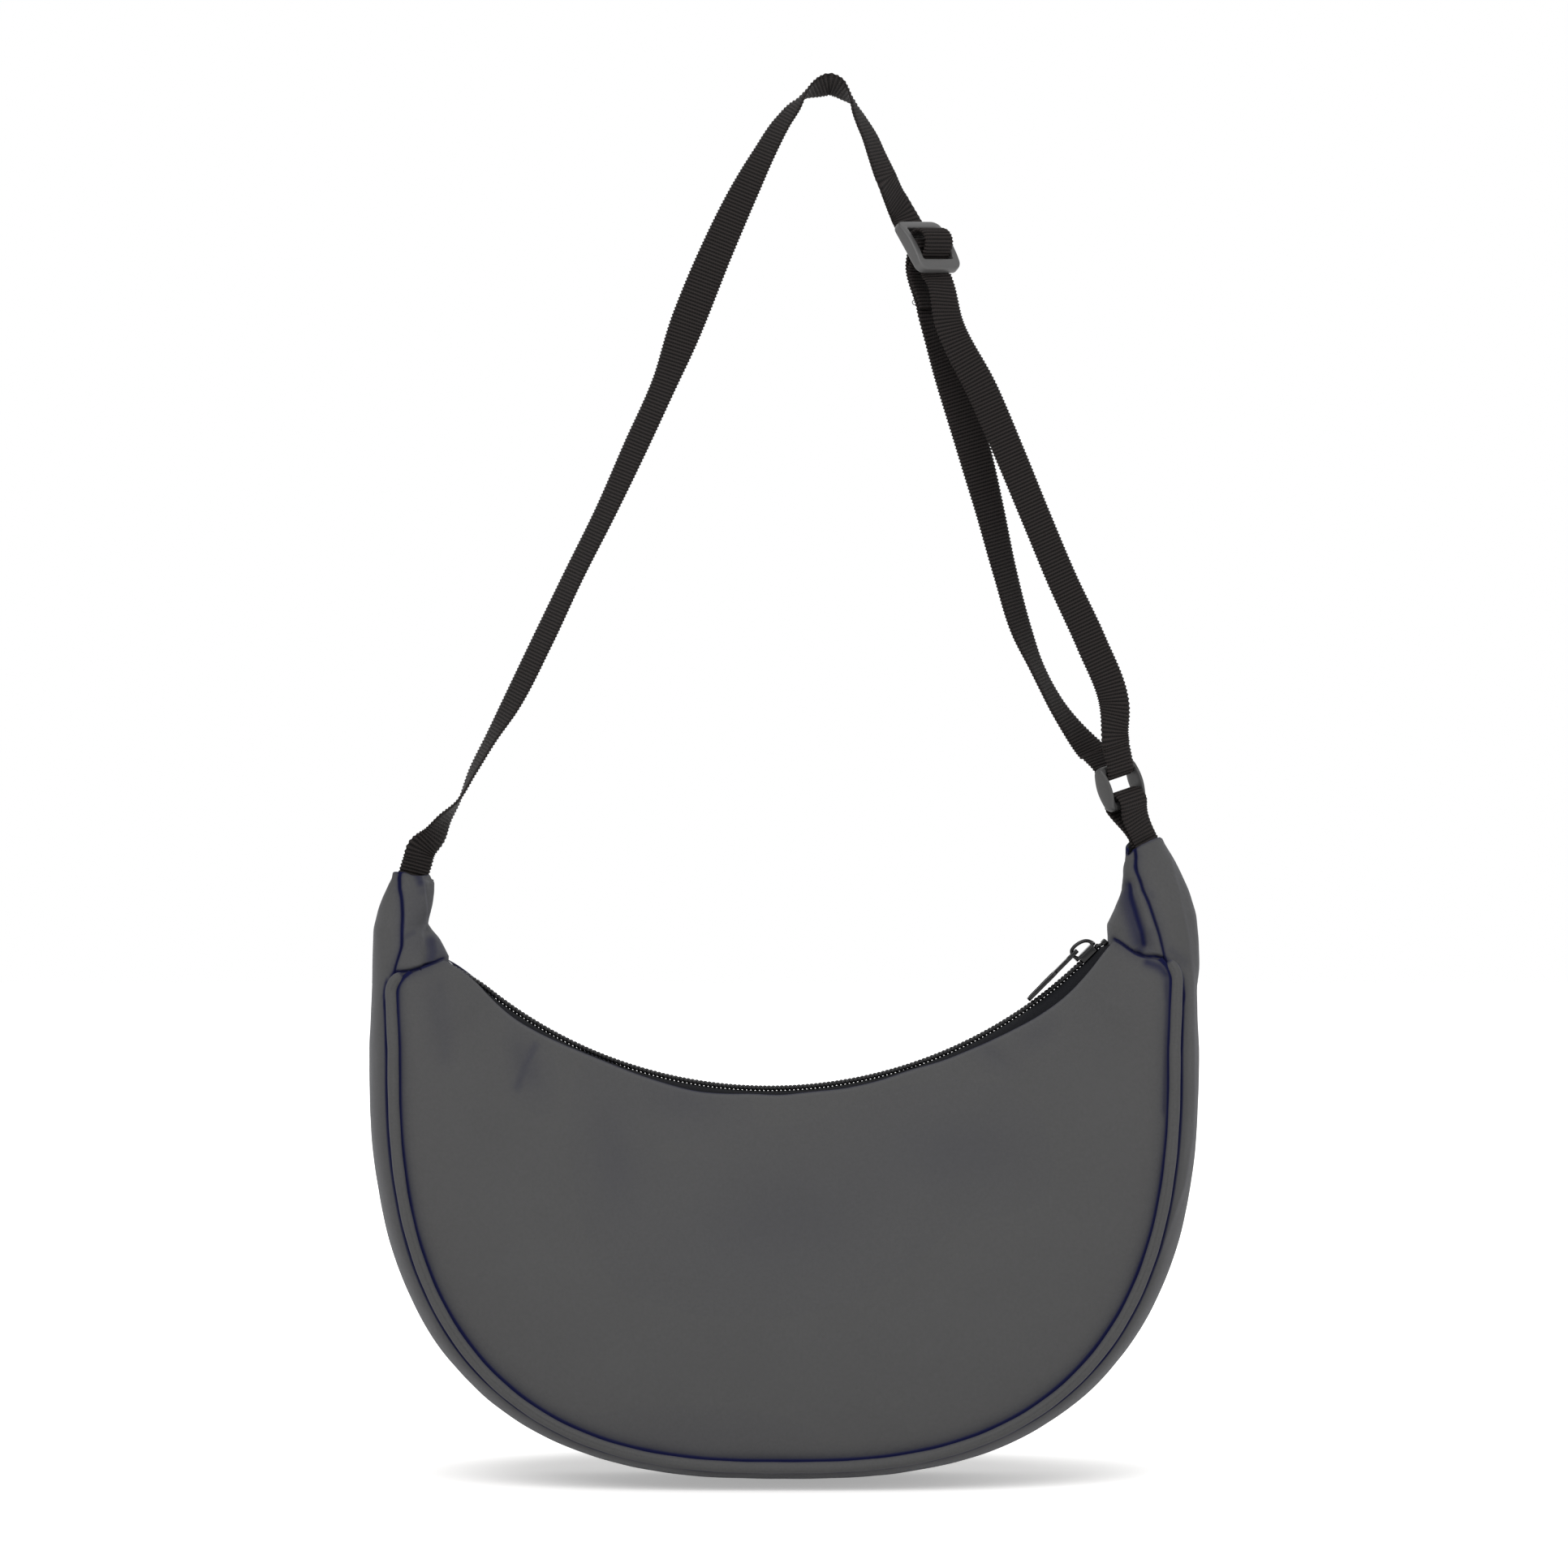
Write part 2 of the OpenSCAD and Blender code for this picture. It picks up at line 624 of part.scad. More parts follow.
// Left strand of the strap, from the horn's mouth up to the crown, as shares of left_reach and strap_drop,
// with the webbing's twist in degrees
left_strand_shares = [
    [0.9990, 0.9925, 45], [0.9915, 0.9780, 46], [0.9634, 0.9600, 61], [0.9370, 0.9392, 75],
    [0.9027, 0.9188, 90], [0.8584, 0.8775, 104], [0.8124, 0.8364, 111],
    [0.7670, 0.7954, 123], [0.6890, 0.7130, 128],
    [0.6147, 0.6306, 126], [0.5369, 0.5485, 128], [0.4649, 0.4660, 134], [0.3941, 0.3836, 137],
    [0.3351, 0.3015, 164], [0.2714, 0.2191, 157], [0.1988, 0.1367, 142], [0.1581, 0.0957, 130],
    [0.1121, 0.0546, 120], [0.0794, 0.0336, 110], [0.0537, 0.0213, 88], [0.0327, 0.0138, 70], [0.0164, 0.0095, 62]
];
left_end_rows = 4;
// Right side of the crown down to the tri-glide, as shares of glide_reach and glide_drop, and twist
right_strand_shares = [
    [0, 0.0330, 60], [0.0750, 0.0490, 62], [0.1500, 0.0895, 74], [0.2150, 0.1370, 91], [0.2740, 0.1934, 105],
    [0.3325, 0.2554, 112], [0.4175, 0.3506, 118], [0.4825, 0.4473, 122], [0.5500, 0.5440, 127]
];
// and on down behind its top bar, with a depth as a share of web_w
upper_strand_shares = [
    [0.5540, 0.5500, 127, 0], [0.5870, 0.5946, 128, 0], [0.6280, 0.6500, 130, 0.18],
    [0.6850, 0.7200, 134, 0.42], [0.7450, 0.7800, 139, 0.60]
];

left_points = [for (p = left_strand_shares) [-left_reach * p[0], 0, -strap_drop * p[1]]];
left_twists = [for (p = left_strand_shares) p[2]];
right_points = [for (p = right_strand_shares) [glide_reach * p[0], 0, -glide_drop * p[1]]];
right_twists = [for (p = right_strand_shares) p[2]];

function part_of(list, first, last) = [for (i = [first:last]) list[i]];
left_across = strand_across(left_points, left_twists);

// The cut between two stretches of webbing leaves a hair's breadth
cut_gap = 0.3;
function trimmed(route, first, last) = [
    for (i = [0:len(route) - 1])
        i == 0 && first != 0 ? route[0] + first * heading(route, 0)
        : (i == len(route) - 1 && last != 0 ? route[i] - last * heading(route, i) : route[i])
];

module strap_left_end() {
    last = left_end_rows;
    color(web_colour) webbing(part_of(left_points, 0, last), part_of(left_across, 0, last));
}

module strap_main() {
    n = len(left_points) - 1;
    route = concat(part_of(left_points, left_end_rows, n), right_points);
    twists = concat(part_of(left_twists, left_end_rows, n), right_twists);
    color(web_colour) webbing(trimmed(route, cut_gap, 0), strand_across(route, twists));
}

// Inside each horn the webbing's end runs down to the middle of one of the horn's sections
lead = 2.5;
tail_section = 3;
function horn_middle(rows, side) =
    let (s = horn_section(rows[tail_section], side))
    [bag_x + s[0], 0, bag_z + s[1]];
module strap_left_tail() {
    along = heading(left_points, 0);
    route = [
        horn_middle(left_horn_shares, -1), left_points[0] - (cut_gap + lead) * along,
        left_points[0] - cut_gap * along
    ];
    color(web_colour) webbing(route, [for (p = route) left_across[0]]);
}

// Frame of the tri-glide and the ring: local X is the width, -Y the face and -Z down the strand
module on_strand(place, lean, nod = 0) {
    translate(place) rotate([0, -lean, 0]) rotate([0, 0, hardware_turn]) rotate([-nod, 0, 0]) children();
}
function from_strand(place, lean, p, nod = 0) =
    let (v = p[1] * cos(nod) + p[2] * sin(nod), z = p[2] * cos(nod) - p[1] * sin(nod),
         x = p[0] * cos(hardware_turn) - v * sin(hardware_turn),
         y = p[0] * sin(hardware_turn) + v * cos(hardware_turn))
    place + [x * cos(lean) - z * sin(lean), y, x * sin(lean) + z * cos(lean)];

mouth_place = [bag_x + right_mouth[0], 0, bag_z + right_mouth[1]];
glide_place = [glide_reach, 0, -glide_drop];
ring_place = mouth_place + [-ring_aside, 0, ring_over];

// A flat strip of webbing, given by a route in the local YZ plane
module local_web(route) {
    translate([-web_w / 2, 0, 0]) rotate([90, 0, 90]) linear_extrude(web_w) polygon(strip(route, web_t));
}
function arc_route(y, z, r, from, to, steps) = [
    for (i = [0:steps]) let (a = mix(from, to, i / steps)) [y + r * cos(a), z + r * sin(a)]
];

// Tri-glide: a moulded frame whose side bars arch over the webbing
glide_in = web_w + 2 * run_gap;
glide_w = glide_in + 2 * glide_side;
glide_corner = 3.4;
glide_window = glide_l - 2 * glide_bar;
glide_back = glide_t / 2;
module tri_glide_body() {
    intersection() {
        rotate([90, 0, 0]) translate([0, 0, -glide_l]) linear_extrude(2 * glide_l) difference() {
            rounded_plan(glide_w, glide_l, glide_corner);
            square([glide_in, glide_window], center = true);
        }
        translate([-glide_w, 0, 0]) rotate([90, 0, 90]) linear_extrude(2 * glide_w) side_profile();
    }
    rotate([0, 90, 0]) cylinder(h = glide_in + glide_side, r = centre_r, center = true, $fn = 40);
}
// Side view of the frame: flat behind, arched in front
module side_profile() {
    arch_rise = glide_arch - glide_t;
    arch_r = (glide_l * glide_l / 4 + arch_rise * arch_rise) / (2 * arch_rise);
    intersection() {
        translate([glide_back - glide_arch, -glide_l / 2]) square([glide_arch, glide_l]);
        translate([glide_back - glide_arch + arch_r, 0]) circle(arch_r, $fn = 120);
    }
}

module tri_glide() {
    color(plastic_colour) on_strand(glide_place, glide_lean, glide_nod) tri_glide_body();
}

// Routes through the tri-glide: the end loop lies on the centre bar and the bight goes over it
loop_r = centre_r + run_gap + web_t / 2;
bight_room = 0.8;
bight_out = 3;
bight_r = loop_r + web_t + run_gap + bight_room;
behind_y = glide_back + run_gap + web_t / 2;
layer = web_t + seam_gap;
sewn_l = 11.6;
sewn_z = -glide_l / 2 - sewn_l;
bight_turn = 75;
bight_steps = 8;
loop_start = 30;
loop_end = 250;
loop_steps = 10;
slot_z = glide_window / 2 - web_t / 2;
function glide_bight_route() = concat(
    [[behind_y, glide_l / 2 - cut_gap], [behind_y, slot_z]],
    arc_route(-bight_out, 0, bight_r, 180 - bight_turn, 180 + bight_turn, bight_steps),
    [[behind_y, -slot_z], [behind_y, -glide_l / 2 + cut_gap]]
);
function end_loop_route() = concat(
    [[behind_y + 2 * layer, sewn_z], [behind_y + 2 * layer, -loop_r - web_t]],
    arc_route(0, 0, loop_r, loop_start, loop_end, loop_steps),
    [[behind_y + layer, -slot_z + web_t + seam_gap / 2], [behind_y + layer, sewn_z]]
);

module glide_bight() {
    color(web_colour) on_strand(glide_place, glide_lean, glide_nod) local_web(glide_bight_route());
}

module strap_end_loop() {
    color(web_colour) on_strand(glide_place, glide_lean, loop_nod) local_web(end_loop_route());
}

module strap_upper_strand() {
    low = [for (z = [lead, 0])
        from_strand(glide_place, glide_lean, [0, behind_y, glide_l / 2 + z], glide_nod)];
    high = [for (p = upper_strand_shares) [glide_reach * p[0], web_w * p[3], -glide_drop * p[1]]];
    route = concat(high, low);
    twists = concat([for (p = upper_strand_shares) p[2]], [for (p = low) 180 - hardware_turn]);
    color(web_colour) webbing(route, strand_across(route, twists));
}

// Two strands from the tri-glide down to the ring, as shares of the way between them,
// with a sideways bow and a depth as shares of web_w and the twist
front_strand_shares = [
    [0.15, -0.15, -0.60, 141], [0.28, 0.13, -0.55, 142], [0.40, 0.31, -0.42, 142], [0.52, 0.42, -0.26, 143],
    [0.64, 0.47, -0.10, 143], [0.76, 0.49, 0, 142], [0.86, 0.40, 0.05, 141]
];
rear_strand_shares = [
    [0.24, -0.70, 0.12, 145], [0.38, -0.86, 0.32, 140], [0.50, -0.98, 0.52, 131], [0.62, -1.08, 0.70, 128],
    [0.74, -1.21, 0.82, 118], [0.84, -1.22, 0.84, 116]
];
bight_leg = 8;
ring_web_r = ring_bar_r + run_gap + web_t / 2;
function between(row) =
    let (p = mix(glide_place, ring_place, row[0]))
    [p[0] + row[1] * web_w, row[2] * web_w, p[2]];

bight_flare = 4;
flare_dir = unit([bight_flare, bight_leg]);
ring_front_leg = [for (z = [lead + cut_gap, cut_gap])
    from_strand(ring_place, ring_lean, [0, -ring_web_r, bight_leg + z])];
ring_rear_end = [ring_web_r + bight_flare, bight_leg];
ring_rear_leg = [for (z = [lead + cut_gap, cut_gap])
    from_strand(ring_place, ring_lean, [0, each ring_rear_end + z * flare_dir])];
hardware_twists = [180 - hardware_turn, 180 - hardware_turn];

module lower_strand(top, rows, leg) {
    route = concat(top, [for (row = rows) between(row)], leg);
    twists = concat(hardware_twists, [for (row = rows) row[3]], hardware_twists);
    color(web_colour) webbing(route, strand_across(route, twists));
}

module strap_front_strand() {
    top = [for (z = [0, lead])
        from_strand(glide_place, glide_lean, [0, behind_y, -glide_l / 2 - z], glide_nod)];
    lower_strand(top, front_strand_shares, ring_front_leg);
}

module strap_rear_strand() {
    top = [for (z = [cut_gap, lead])
        from_strand(glide_place, glide_lean, [0, behind_y + 2 * layer, sewn_z - z], loop_nod)];
    lower_strand(top, rear_strand_shares, ring_rear_leg);
}

// Bight of the strap under the ring's top bar
function ring_bight_route() = concat(
    [[-ring_web_r, bight_leg]],
    arc_route(0, 0, ring_web_r, 180, 360, loop_steps),
    [ring_rear_end]
);
module ring_bight() {
    color(web_colour) on_strand(ring_place, ring_lean) local_web(ring_bight_route());
}

// Ring: two round bars between side bars that swell in the middle
ring_in = web_w + 2 * run_gap;
module ring_side_profile() {
    long = ring_pitch + 2 * ring_bar_r;
    swell = ring_bulge / 2 - ring_bar_r;
    lens_r = (long * long / 4 + swell * swell) / (2 * swell);
    intersection() {
        square([ring_bulge, long], center = true);
        translate([lens_r - ring_bulge / 2, 0]) circle(lens_r, $fn = 120);
        translate([-lens_r + ring_bulge / 2, 0]) circle(lens_r, $fn = 120);
    }
}
module ring() {
    color(plastic_colour) on_strand(ring_place, ring_lean) {
        for (z = [0, -ring_pitch]) translate([0, 0, z]) rotate([0, 90, 0])
            cylinder(h = ring_in + ring_side, r = ring_bar_r, center = true, $fn = 40);
        for (side = [-1, 1])
            translate([side * (ring_in + ring_side) / 2 - ring_side / 2, 0, -ring_pitch / 2])
                rotate([90, 0, 90]) linear_extrude(ring_side) ring_side_profile();
    }
}

// Short loop from the right horn's mouth round the ring's lower bar
loop_bar = from_strand(ring_place, ring_lean, [0, 0, -ring_pitch]);
mouth_turn = right_mouth[6];
loop_room = 1.1;
loop_wrap = 15;
loop_rise = unit(loop_bar - mouth_place);
loop_side = unit([-sin(mouth_turn), cos(mouth_turn), 0]);
loop_wide = cross(loop_side, loop_rise);
function loop_foot(side, up) = mouth_place + side * layer / 2 * loop_side + up * loop_rise;

module ring_loop() {
    r = ring_bar_r + run_gap + web_t / 2 + loop_room;
    wide_top = from_strand([0, 0, 0], ring_lean, [1, 0, 0]);
    turn = [for (p = arc_route(0, 0, r, 180 + loop_wrap, -loop_wrap, loop_steps))
        from_strand(loop_bar, ring_lean, [0, p[0], p[1]])];
    route = concat(
        [loop_foot(-1, cut_gap), loop_foot(-1, lead)], turn, [loop_foot(1, lead), loop_foot(1, cut_gap)]
    );
    across = concat([loop_wide, loop_wide], [for (p = turn) wide_top], [loop_wide, loop_wide]);
    color(web_colour) webbing(route, across);
}

module ring_loop_tail() {
    low = horn_middle(right_horn_shares, 1);
    color(web_colour) for (side = [-1, 1])
        webbing(
            [low + side * layer / 2 * loop_side, loop_foot(side, -lead), loop_foot(side, 0)],
            [loop_wide, loop_wide, loop_wide]
        );
}

front_panel();
back_panel();
gusset();
front_piping();
rear_piping();
left_horn_cap();
right_horn_cap();
front_lining();
back_lining();
gusset_lining();
zip_tape_front();
zip_tape_rear();
zip_coil_front();
zip_coil_rear();
zip_bottom_stop();
zip_top_stops();
zip_slider();
zip_pull();
strap_left_tail();
strap_left_end();
strap_main();
strap_upper_strand();
glide_bight();
strap_end_loop();
strap_front_strand();
strap_rear_strand();
ring_bight();
ring_loop();
ring_loop_tail();
tri_glide();
ring();
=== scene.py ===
"""Looks of the half moon bag, built round the solid model. Lengths are millimetres until a mesh is made."""
import math

import bmesh
import bpy
import numpy as np
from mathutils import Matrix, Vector


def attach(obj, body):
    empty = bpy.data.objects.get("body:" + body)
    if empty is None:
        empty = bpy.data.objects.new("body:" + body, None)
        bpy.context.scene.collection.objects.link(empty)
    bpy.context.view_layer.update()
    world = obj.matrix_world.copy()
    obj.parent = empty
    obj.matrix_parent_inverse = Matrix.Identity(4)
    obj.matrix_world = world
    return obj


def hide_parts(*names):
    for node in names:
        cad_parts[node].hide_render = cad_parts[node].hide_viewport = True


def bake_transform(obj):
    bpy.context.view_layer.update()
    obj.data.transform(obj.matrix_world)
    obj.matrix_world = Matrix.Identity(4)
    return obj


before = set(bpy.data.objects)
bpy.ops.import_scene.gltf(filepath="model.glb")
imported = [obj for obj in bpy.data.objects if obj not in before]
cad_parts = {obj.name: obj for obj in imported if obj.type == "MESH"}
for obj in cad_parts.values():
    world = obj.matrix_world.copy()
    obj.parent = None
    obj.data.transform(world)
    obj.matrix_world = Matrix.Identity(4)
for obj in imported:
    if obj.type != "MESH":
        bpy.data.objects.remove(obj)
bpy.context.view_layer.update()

MM = 0.001
FRONT = -1
BACK = 1
LEFT = -1
RIGHT = 1

# Sizes of the solid model
BAG_W = 340.4
BAG_H = 262.0
BELLY_H = 177.0
BAG_DEPTH = 70.0
BELLY_POWER = 2.63
SIDE_INSET = 11.4
BASE_INSET = 7.7
WALL = 1.4
HORN_WALL = 0.9
LINING_T = 0.8
PIPE_R = 2.4
SEAM_GAP = 0.3
DOME = 4.0
MOUTH_SAG = 57.3
COIL_W = 2.4
COIL_T = 2.2
COIL_PITCH = 1.74
SLIT_HALF = 0.6
TAPE_T = 0.8
WEB_W = 15.0
WEB_T = 1.5
STRAP_DROP = 324.0
LEFT_REACH = 171.2
RING_LEAN = 18.0
GLIDE_AT = np.array([40.0, 0.0, -69.3])
GLIDE_LEAN = 4.0
GLIDE_NOD = 34.0
LOOP_NOD = 14.0
HARDWARE_TURN = 39.0
HALF_W = BAG_W / 2
HALF_D = BAG_DEPTH / 2

# Horn sections as in the solid model: height, outer edge, gusset seam, inner edge, half depth, rise, turn
LEFT_HORN = np.array([
    [0.800, 0.994, 0.9354, 0.808, 0.540, 0.033, 0],
    [0.834, 0.992, 0.9179, 0.831, 0.450, 0.019, 0],
    [0.863, 0.990, 0.9169, 0.859, 0.370, 0.008, 0],
    [0.895, 0.977, 0.9306, 0.849, 0.290, 0.004, 12],
    [0.926, 0.962, 0.9451, 0.840, 0.205, 0.008, 29],
    [0.945, 0.957, 0.9477, 0.840, 0.135, 0.011, 41],
    [0.955, 0.957, 0.9455, 0.841, 0.105, 0.011, 45],
])
RIGHT_HORN = np.array([
    [0.823, 1.002, 0.9113, 0.780, 0.540, 0.047, 0],
    [0.855, 1.000, 0.8983, 0.780, 0.470, 0.023, 0],
    [0.885, 0.994, 0.8826, 0.798, 0.400, 0.008, 0],
    [0.920, 0.977, 0.8501, 0.814, 0.310, 0.000, 12],
    [0.952, 0.957, 0.8250, 0.811, 0.240, -0.008, 30],
    [0.979, 0.940, 0.8120, 0.808, 0.180, -0.013, 43],
    [1.000, 0.928, 0.8082, 0.806, 0.150, -0.019, 48],
])


def mix(a, b, s):
    return a + (b - a) * s


def unit(v):
    v = np.asarray(v, float)
    return v / np.maximum(np.linalg.norm(v, axis=-1, keepdims=True), 1e-12)


def xyz(*parts):
    """Coordinates side by side as one array of points."""
    return np.stack(np.broadcast_arrays(*parts), axis=-1)


def soft(v, power):
    """v raised to a power with its sign kept, which squares a circle when the power is below 1."""
    return np.sign(v) * np.abs(v) ** power


def bell(d, width):
    return np.exp(-((d / width) ** 2))


def eased(s):
    return s * s * (3 - 2 * s)


def spun(a, b, degrees):
    """Two coordinates turned by an angle."""
    c, s = np.cos(np.radians(degrees)), np.sin(np.radians(degrees))
    return a * c - b * s, a * s + b * c


def smooth(ts, rows, at):
    """Smooth curve through rows given at ts, read at the places in at."""
    ts = np.asarray(ts, float)
    rows = np.asarray(rows, float)
    at = np.asarray(at, float)
    shape = rows.shape[1:]
    rows = rows.reshape(len(rows), -1)
    steps = np.diff(ts)[:, None]
    slopes = np.diff(rows, axis=0) / steps
    tangents = np.empty_like(rows)
    tangents[1:-1] = (slopes[:-1] * steps[1:] + slopes[1:] * steps[:-1]) / (steps[1:] + steps[:-1])
    tangents[0] = slopes[0]
    tangents[-1] = slopes[-1]
    i = np.clip(np.searchsorted(ts, at, side="right") - 1, 0, len(ts) - 2)
    h = steps[i]
    s = (at - ts[i])[:, None] / h
    found = (
        (2 * s**3 - 3 * s**2 + 1) * rows[i] + (s**3 - 2 * s**2 + s) * h * tangents[i]
        + (3 * s**2 - 2 * s**3) * rows[i + 1] + (s**3 - s**2) * h * tangents[i + 1]
    )
    return found.reshape((len(at),) + shape)


def run_length(points):
    """Distance along a line of points, or along each row of a grid of them, from 0 at the first."""
    steps = np.linalg.norm(np.diff(points, axis=-2), axis=-1)
    return np.concatenate([np.zeros(steps.shape[:-1] + (1,)), np.cumsum(steps, axis=-1)], axis=-1)


def from_ends(along):
    """Distance to the nearer end, from distances along a line or a grid's rows."""
    return np.minimum(along, along[..., -1:] - along)


# Geometry of the bag, in its own frame with the base at height 0
SIDE_STEPS = 3
BELLY_STEPS = 34
STATIONS = BELLY_STEPS + 2 * SIDE_STEPS
PIPE_SPLAY = 1.6
SILHOUETTE_SPLAY = -1.0
PANEL_INSET = PIPE_R + SEAM_GAP


def horn_seam_height(rows, x):
    height, outer, _, inner, _, rise, _ = rows[0]
    return BAG_H * (height + rise * (HALF_W * (outer + inner) / 2 - x) / (HALF_W * (outer - inner)))


PANEL_HALF = HALF_W - SIDE_INSET - PANEL_INSET + PIPE_SPLAY
LEFT_RISE = horn_seam_height(LEFT_HORN, PANEL_HALF) - BELLY_H - SEAM_GAP
RIGHT_RISE = horn_seam_height(RIGHT_HORN, PANEL_HALF) - BELLY_H - SEAM_GAP


def outline(k, inset, base_inset, splay, low=0.0):
    """Lower outline at stations k, up the left side, round the base and up the right side."""
    k = np.asarray(k, float)
    turn = np.radians(180 + 180 * np.clip((k - SIDE_STEPS) / BELLY_STEPS, 0, 1))
    x = (HALF_W - inset) * soft(np.cos(turn), 2 / BELLY_POWER)
    z = BELLY_H - (BELLY_H - base_inset) * np.abs(np.sin(turn)) ** (2 / BELLY_POWER)
    up_left = np.clip(1 - k / SIDE_STEPS, 0, 1)
    up_right = np.clip((k - SIDE_STEPS - BELLY_STEPS) / SIDE_STEPS, 0, 1)
    z = z + (LEFT_RISE - low) * up_left + (RIGHT_RISE - low) * up_right
    return xyz(x + splay * (up_right - up_left), z)


# The panels' top corners are rounded and the piping's ends turn in round them: how far, and over what height
LEFT_CORNER = (6.0, 9.0)
RIGHT_CORNER = (4.8, 9.5)
CORNER_POWER = 2.2


def turned_in(line):
    """The same outline with both its ends turned in towards the middle."""
    line = line.copy()
    for side, rise, (reach, height) in ((LEFT, LEFT_RISE, LEFT_CORNER), (RIGHT, RIGHT_RISE, RIGHT_CORNER)):
        below = np.clip((BELLY_H + rise - line[:, 1]) / height, 0, 1)
        line[:, 0] -= np.where(line[:, 0] * side > 0, side * reach * (1 - below) ** CORNER_POWER, 0)
    return line


def pipe_line(k):
    return outline(k, SIDE_INSET, BASE_INSET, PIPE_SPLAY, PIPE_R)


# The bag is deepest at its base: the share of that depth left at the ends, and how quickly it fills out
END_DEPTH_SHARE = 0.46
FULLNESS_POWER = 0.45
END_STATIONS = 0.6
# The zip's ends lie this far in from the horns' feet and above them
ZIP_END_IN = 1.8
ZIP_END_UP = 0.2


def fullness(k):
    from_end = np.asarray(k, float) + END_STATIONS
    return np.sin(np.pi * from_end / (STATIONS + 2 * END_STATIONS)) ** FULLNESS_POWER


def depth_at(k):
    return HALF_D * mix(END_DEPTH_SHARE, 1, fullness(k))


def horn_foot(rows, side):
    height, _, _, inner, _, rise, _ = rows[0]
    return np.array([side * (HALF_W * inner - ZIP_END_IN), BAG_H * (height + rise / 2) + ZIP_END_UP])


ZIP_LEFT = horn_foot(LEFT_HORN, LEFT)
ZIP_RIGHT = horn_foot(RIGHT_HORN, RIGHT)
ZIP_CHORD = np.linalg.norm(ZIP_RIGHT - ZIP_LEFT)
ZIP_R = (ZIP_CHORD**2 / 4 + MOUTH_SAG**2) / (2 * MOUTH_SAG)
CHORD_DIR = (ZIP_RIGHT - ZIP_LEFT) / ZIP_CHORD
ZIP_CENTRE = (ZIP_LEFT + ZIP_RIGHT) / 2 + (ZIP_R - MOUTH_SAG) * np.array([-CHORD_DIR[1], CHORD_DIR[0]])
LEFT_ANGLE = math.atan2(ZIP_LEFT[0] - ZIP_CENTRE[0], ZIP_CENTRE[1] - ZIP_LEFT[1])
RIGHT_ANGLE = math.atan2(ZIP_RIGHT[0] - ZIP_CENTRE[0], ZIP_CENTRE[1] - ZIP_RIGHT[1])


def on_arc(angle, r, y):
    """Points round the zip's centre in the bag's frame, at an angle from straight down."""
    return xyz(ZIP_CENTRE[0] + r * np.sin(angle), y, ZIP_CENTRE[1] - r * np.cos(angle))


# Share of straight lines, and not a smooth curve, between the rows of a horn
HORN_CRISPNESS = 0.7
WIDEST_HALF_ANGLE = 148


def horn_sections(rows, side, t):
    """Sections at t from 0 at the seam to 1 at the mouth."""
    at = np.linspace(0, 1, len(rows))
    straight = xyz(*[np.interp(t, at, column) for column in rows.T])
    height, outer, seam, inner, deep, rise, turn = mix(smooth(at, rows, t), straight, HORN_CRISPNESS).T
    middle, reach = (outer + inner) / 2, (outer - inner) / 2
    half = np.degrees(np.arccos(np.clip((seam - middle) / reach, -1, 1)))
    return xyz(side * HALF_W * middle, BAG_H * height, side * HALF_W * reach, -BAG_H * rise / 2,
               HALF_D * deep, np.minimum(WIDEST_HALF_ANGLE, half), turn)


def belly_sections(k, less):
    """The gusset's sections from piping to piping, with their half depth made less."""
    line = pipe_line(k)
    out = outline(k, 0, 0, SILHOUETTE_SPLAY, PIPE_R) - line
    return xyz(*line.T, *out.T, depth_at(k) - less, 90.0, 0.0)


def section_grid(sections, angles):
    """Points of sections, one row each, at angles in degrees given for each section."""
    middle_x, middle_z, reach, rise, deep, _, turn = sections.T[..., None]
    a = np.radians(angles)
    x, y = spun(reach * np.cos(a), deep * np.sin(a), turn)
    return xyz(middle_x + x, y, middle_z + rise * np.cos(a))


# How far the rim of each horn hangs below its plain section, by the cosine of the section's angle:
# from -1 at its inner corner to 1 at its outer corner
LEFT_RIM = np.array([[-1, 5.4], [-0.9, 4.4], [-0.5, 3.8], [0, 3.2], [0.3, 2.4], [0.6, 0.9], [1, 0.2]])
RIGHT_RIM = np.array([
    [-1, 4.0], [-0.9, 2.3], [-0.7, 1.1], [-0.4, 0.4], [0.4, 0.3], [0.7, 1.0], [0.9, 2.4], [1, 4.0]
])
RIM_RAMP = 9.0


def rim_drop(angles, below, rim):
    """Drop of points at angles of their section, at distances below the mouth."""
    cosines = np.cos(np.radians(angles))
    drop = smooth(rim[:, 0], rim[:, 1], cosines.ravel()).reshape(cosines.shape)
    return drop * eased(np.clip(1 - below / RIM_RAMP, 0, 1))


LEFT_MOUTH = horn_sections(LEFT_HORN, LEFT, [1])[0]
RIGHT_MOUTH = horn_sections(RIGHT_HORN, RIGHT, [1])[0]
BAG_AT = np.array([-LEFT_REACH - LEFT_MOUTH[0] + LEFT_MOUTH[2] * 0.05, 0, -STRAP_DROP - LEFT_MOUTH[1]])
MOUTH_AT = np.array([BAG_AT[0] + RIGHT_MOUTH[0], 0, BAG_AT[2] + RIGHT_MOUTH[1]])
MOUTH_TO_RING = np.array([-11.9, 0, 29.2])
RING_AT = MOUTH_AT + MOUTH_TO_RING

# The camera stands level in front, where the photograph was taken from
EYE = np.array([-18.7, -2400.0, -289.7])
VIEW_W = 644.0


def seen(points):
    """Where points show on the plane y = 0 from the camera, as x and z."""
    scale = -EYE[1] / (points[..., 1:2] - EYE[1])
    return EYE[[0, 2]] + (points[..., [0, 2]] - EYE[[0, 2]]) * scale


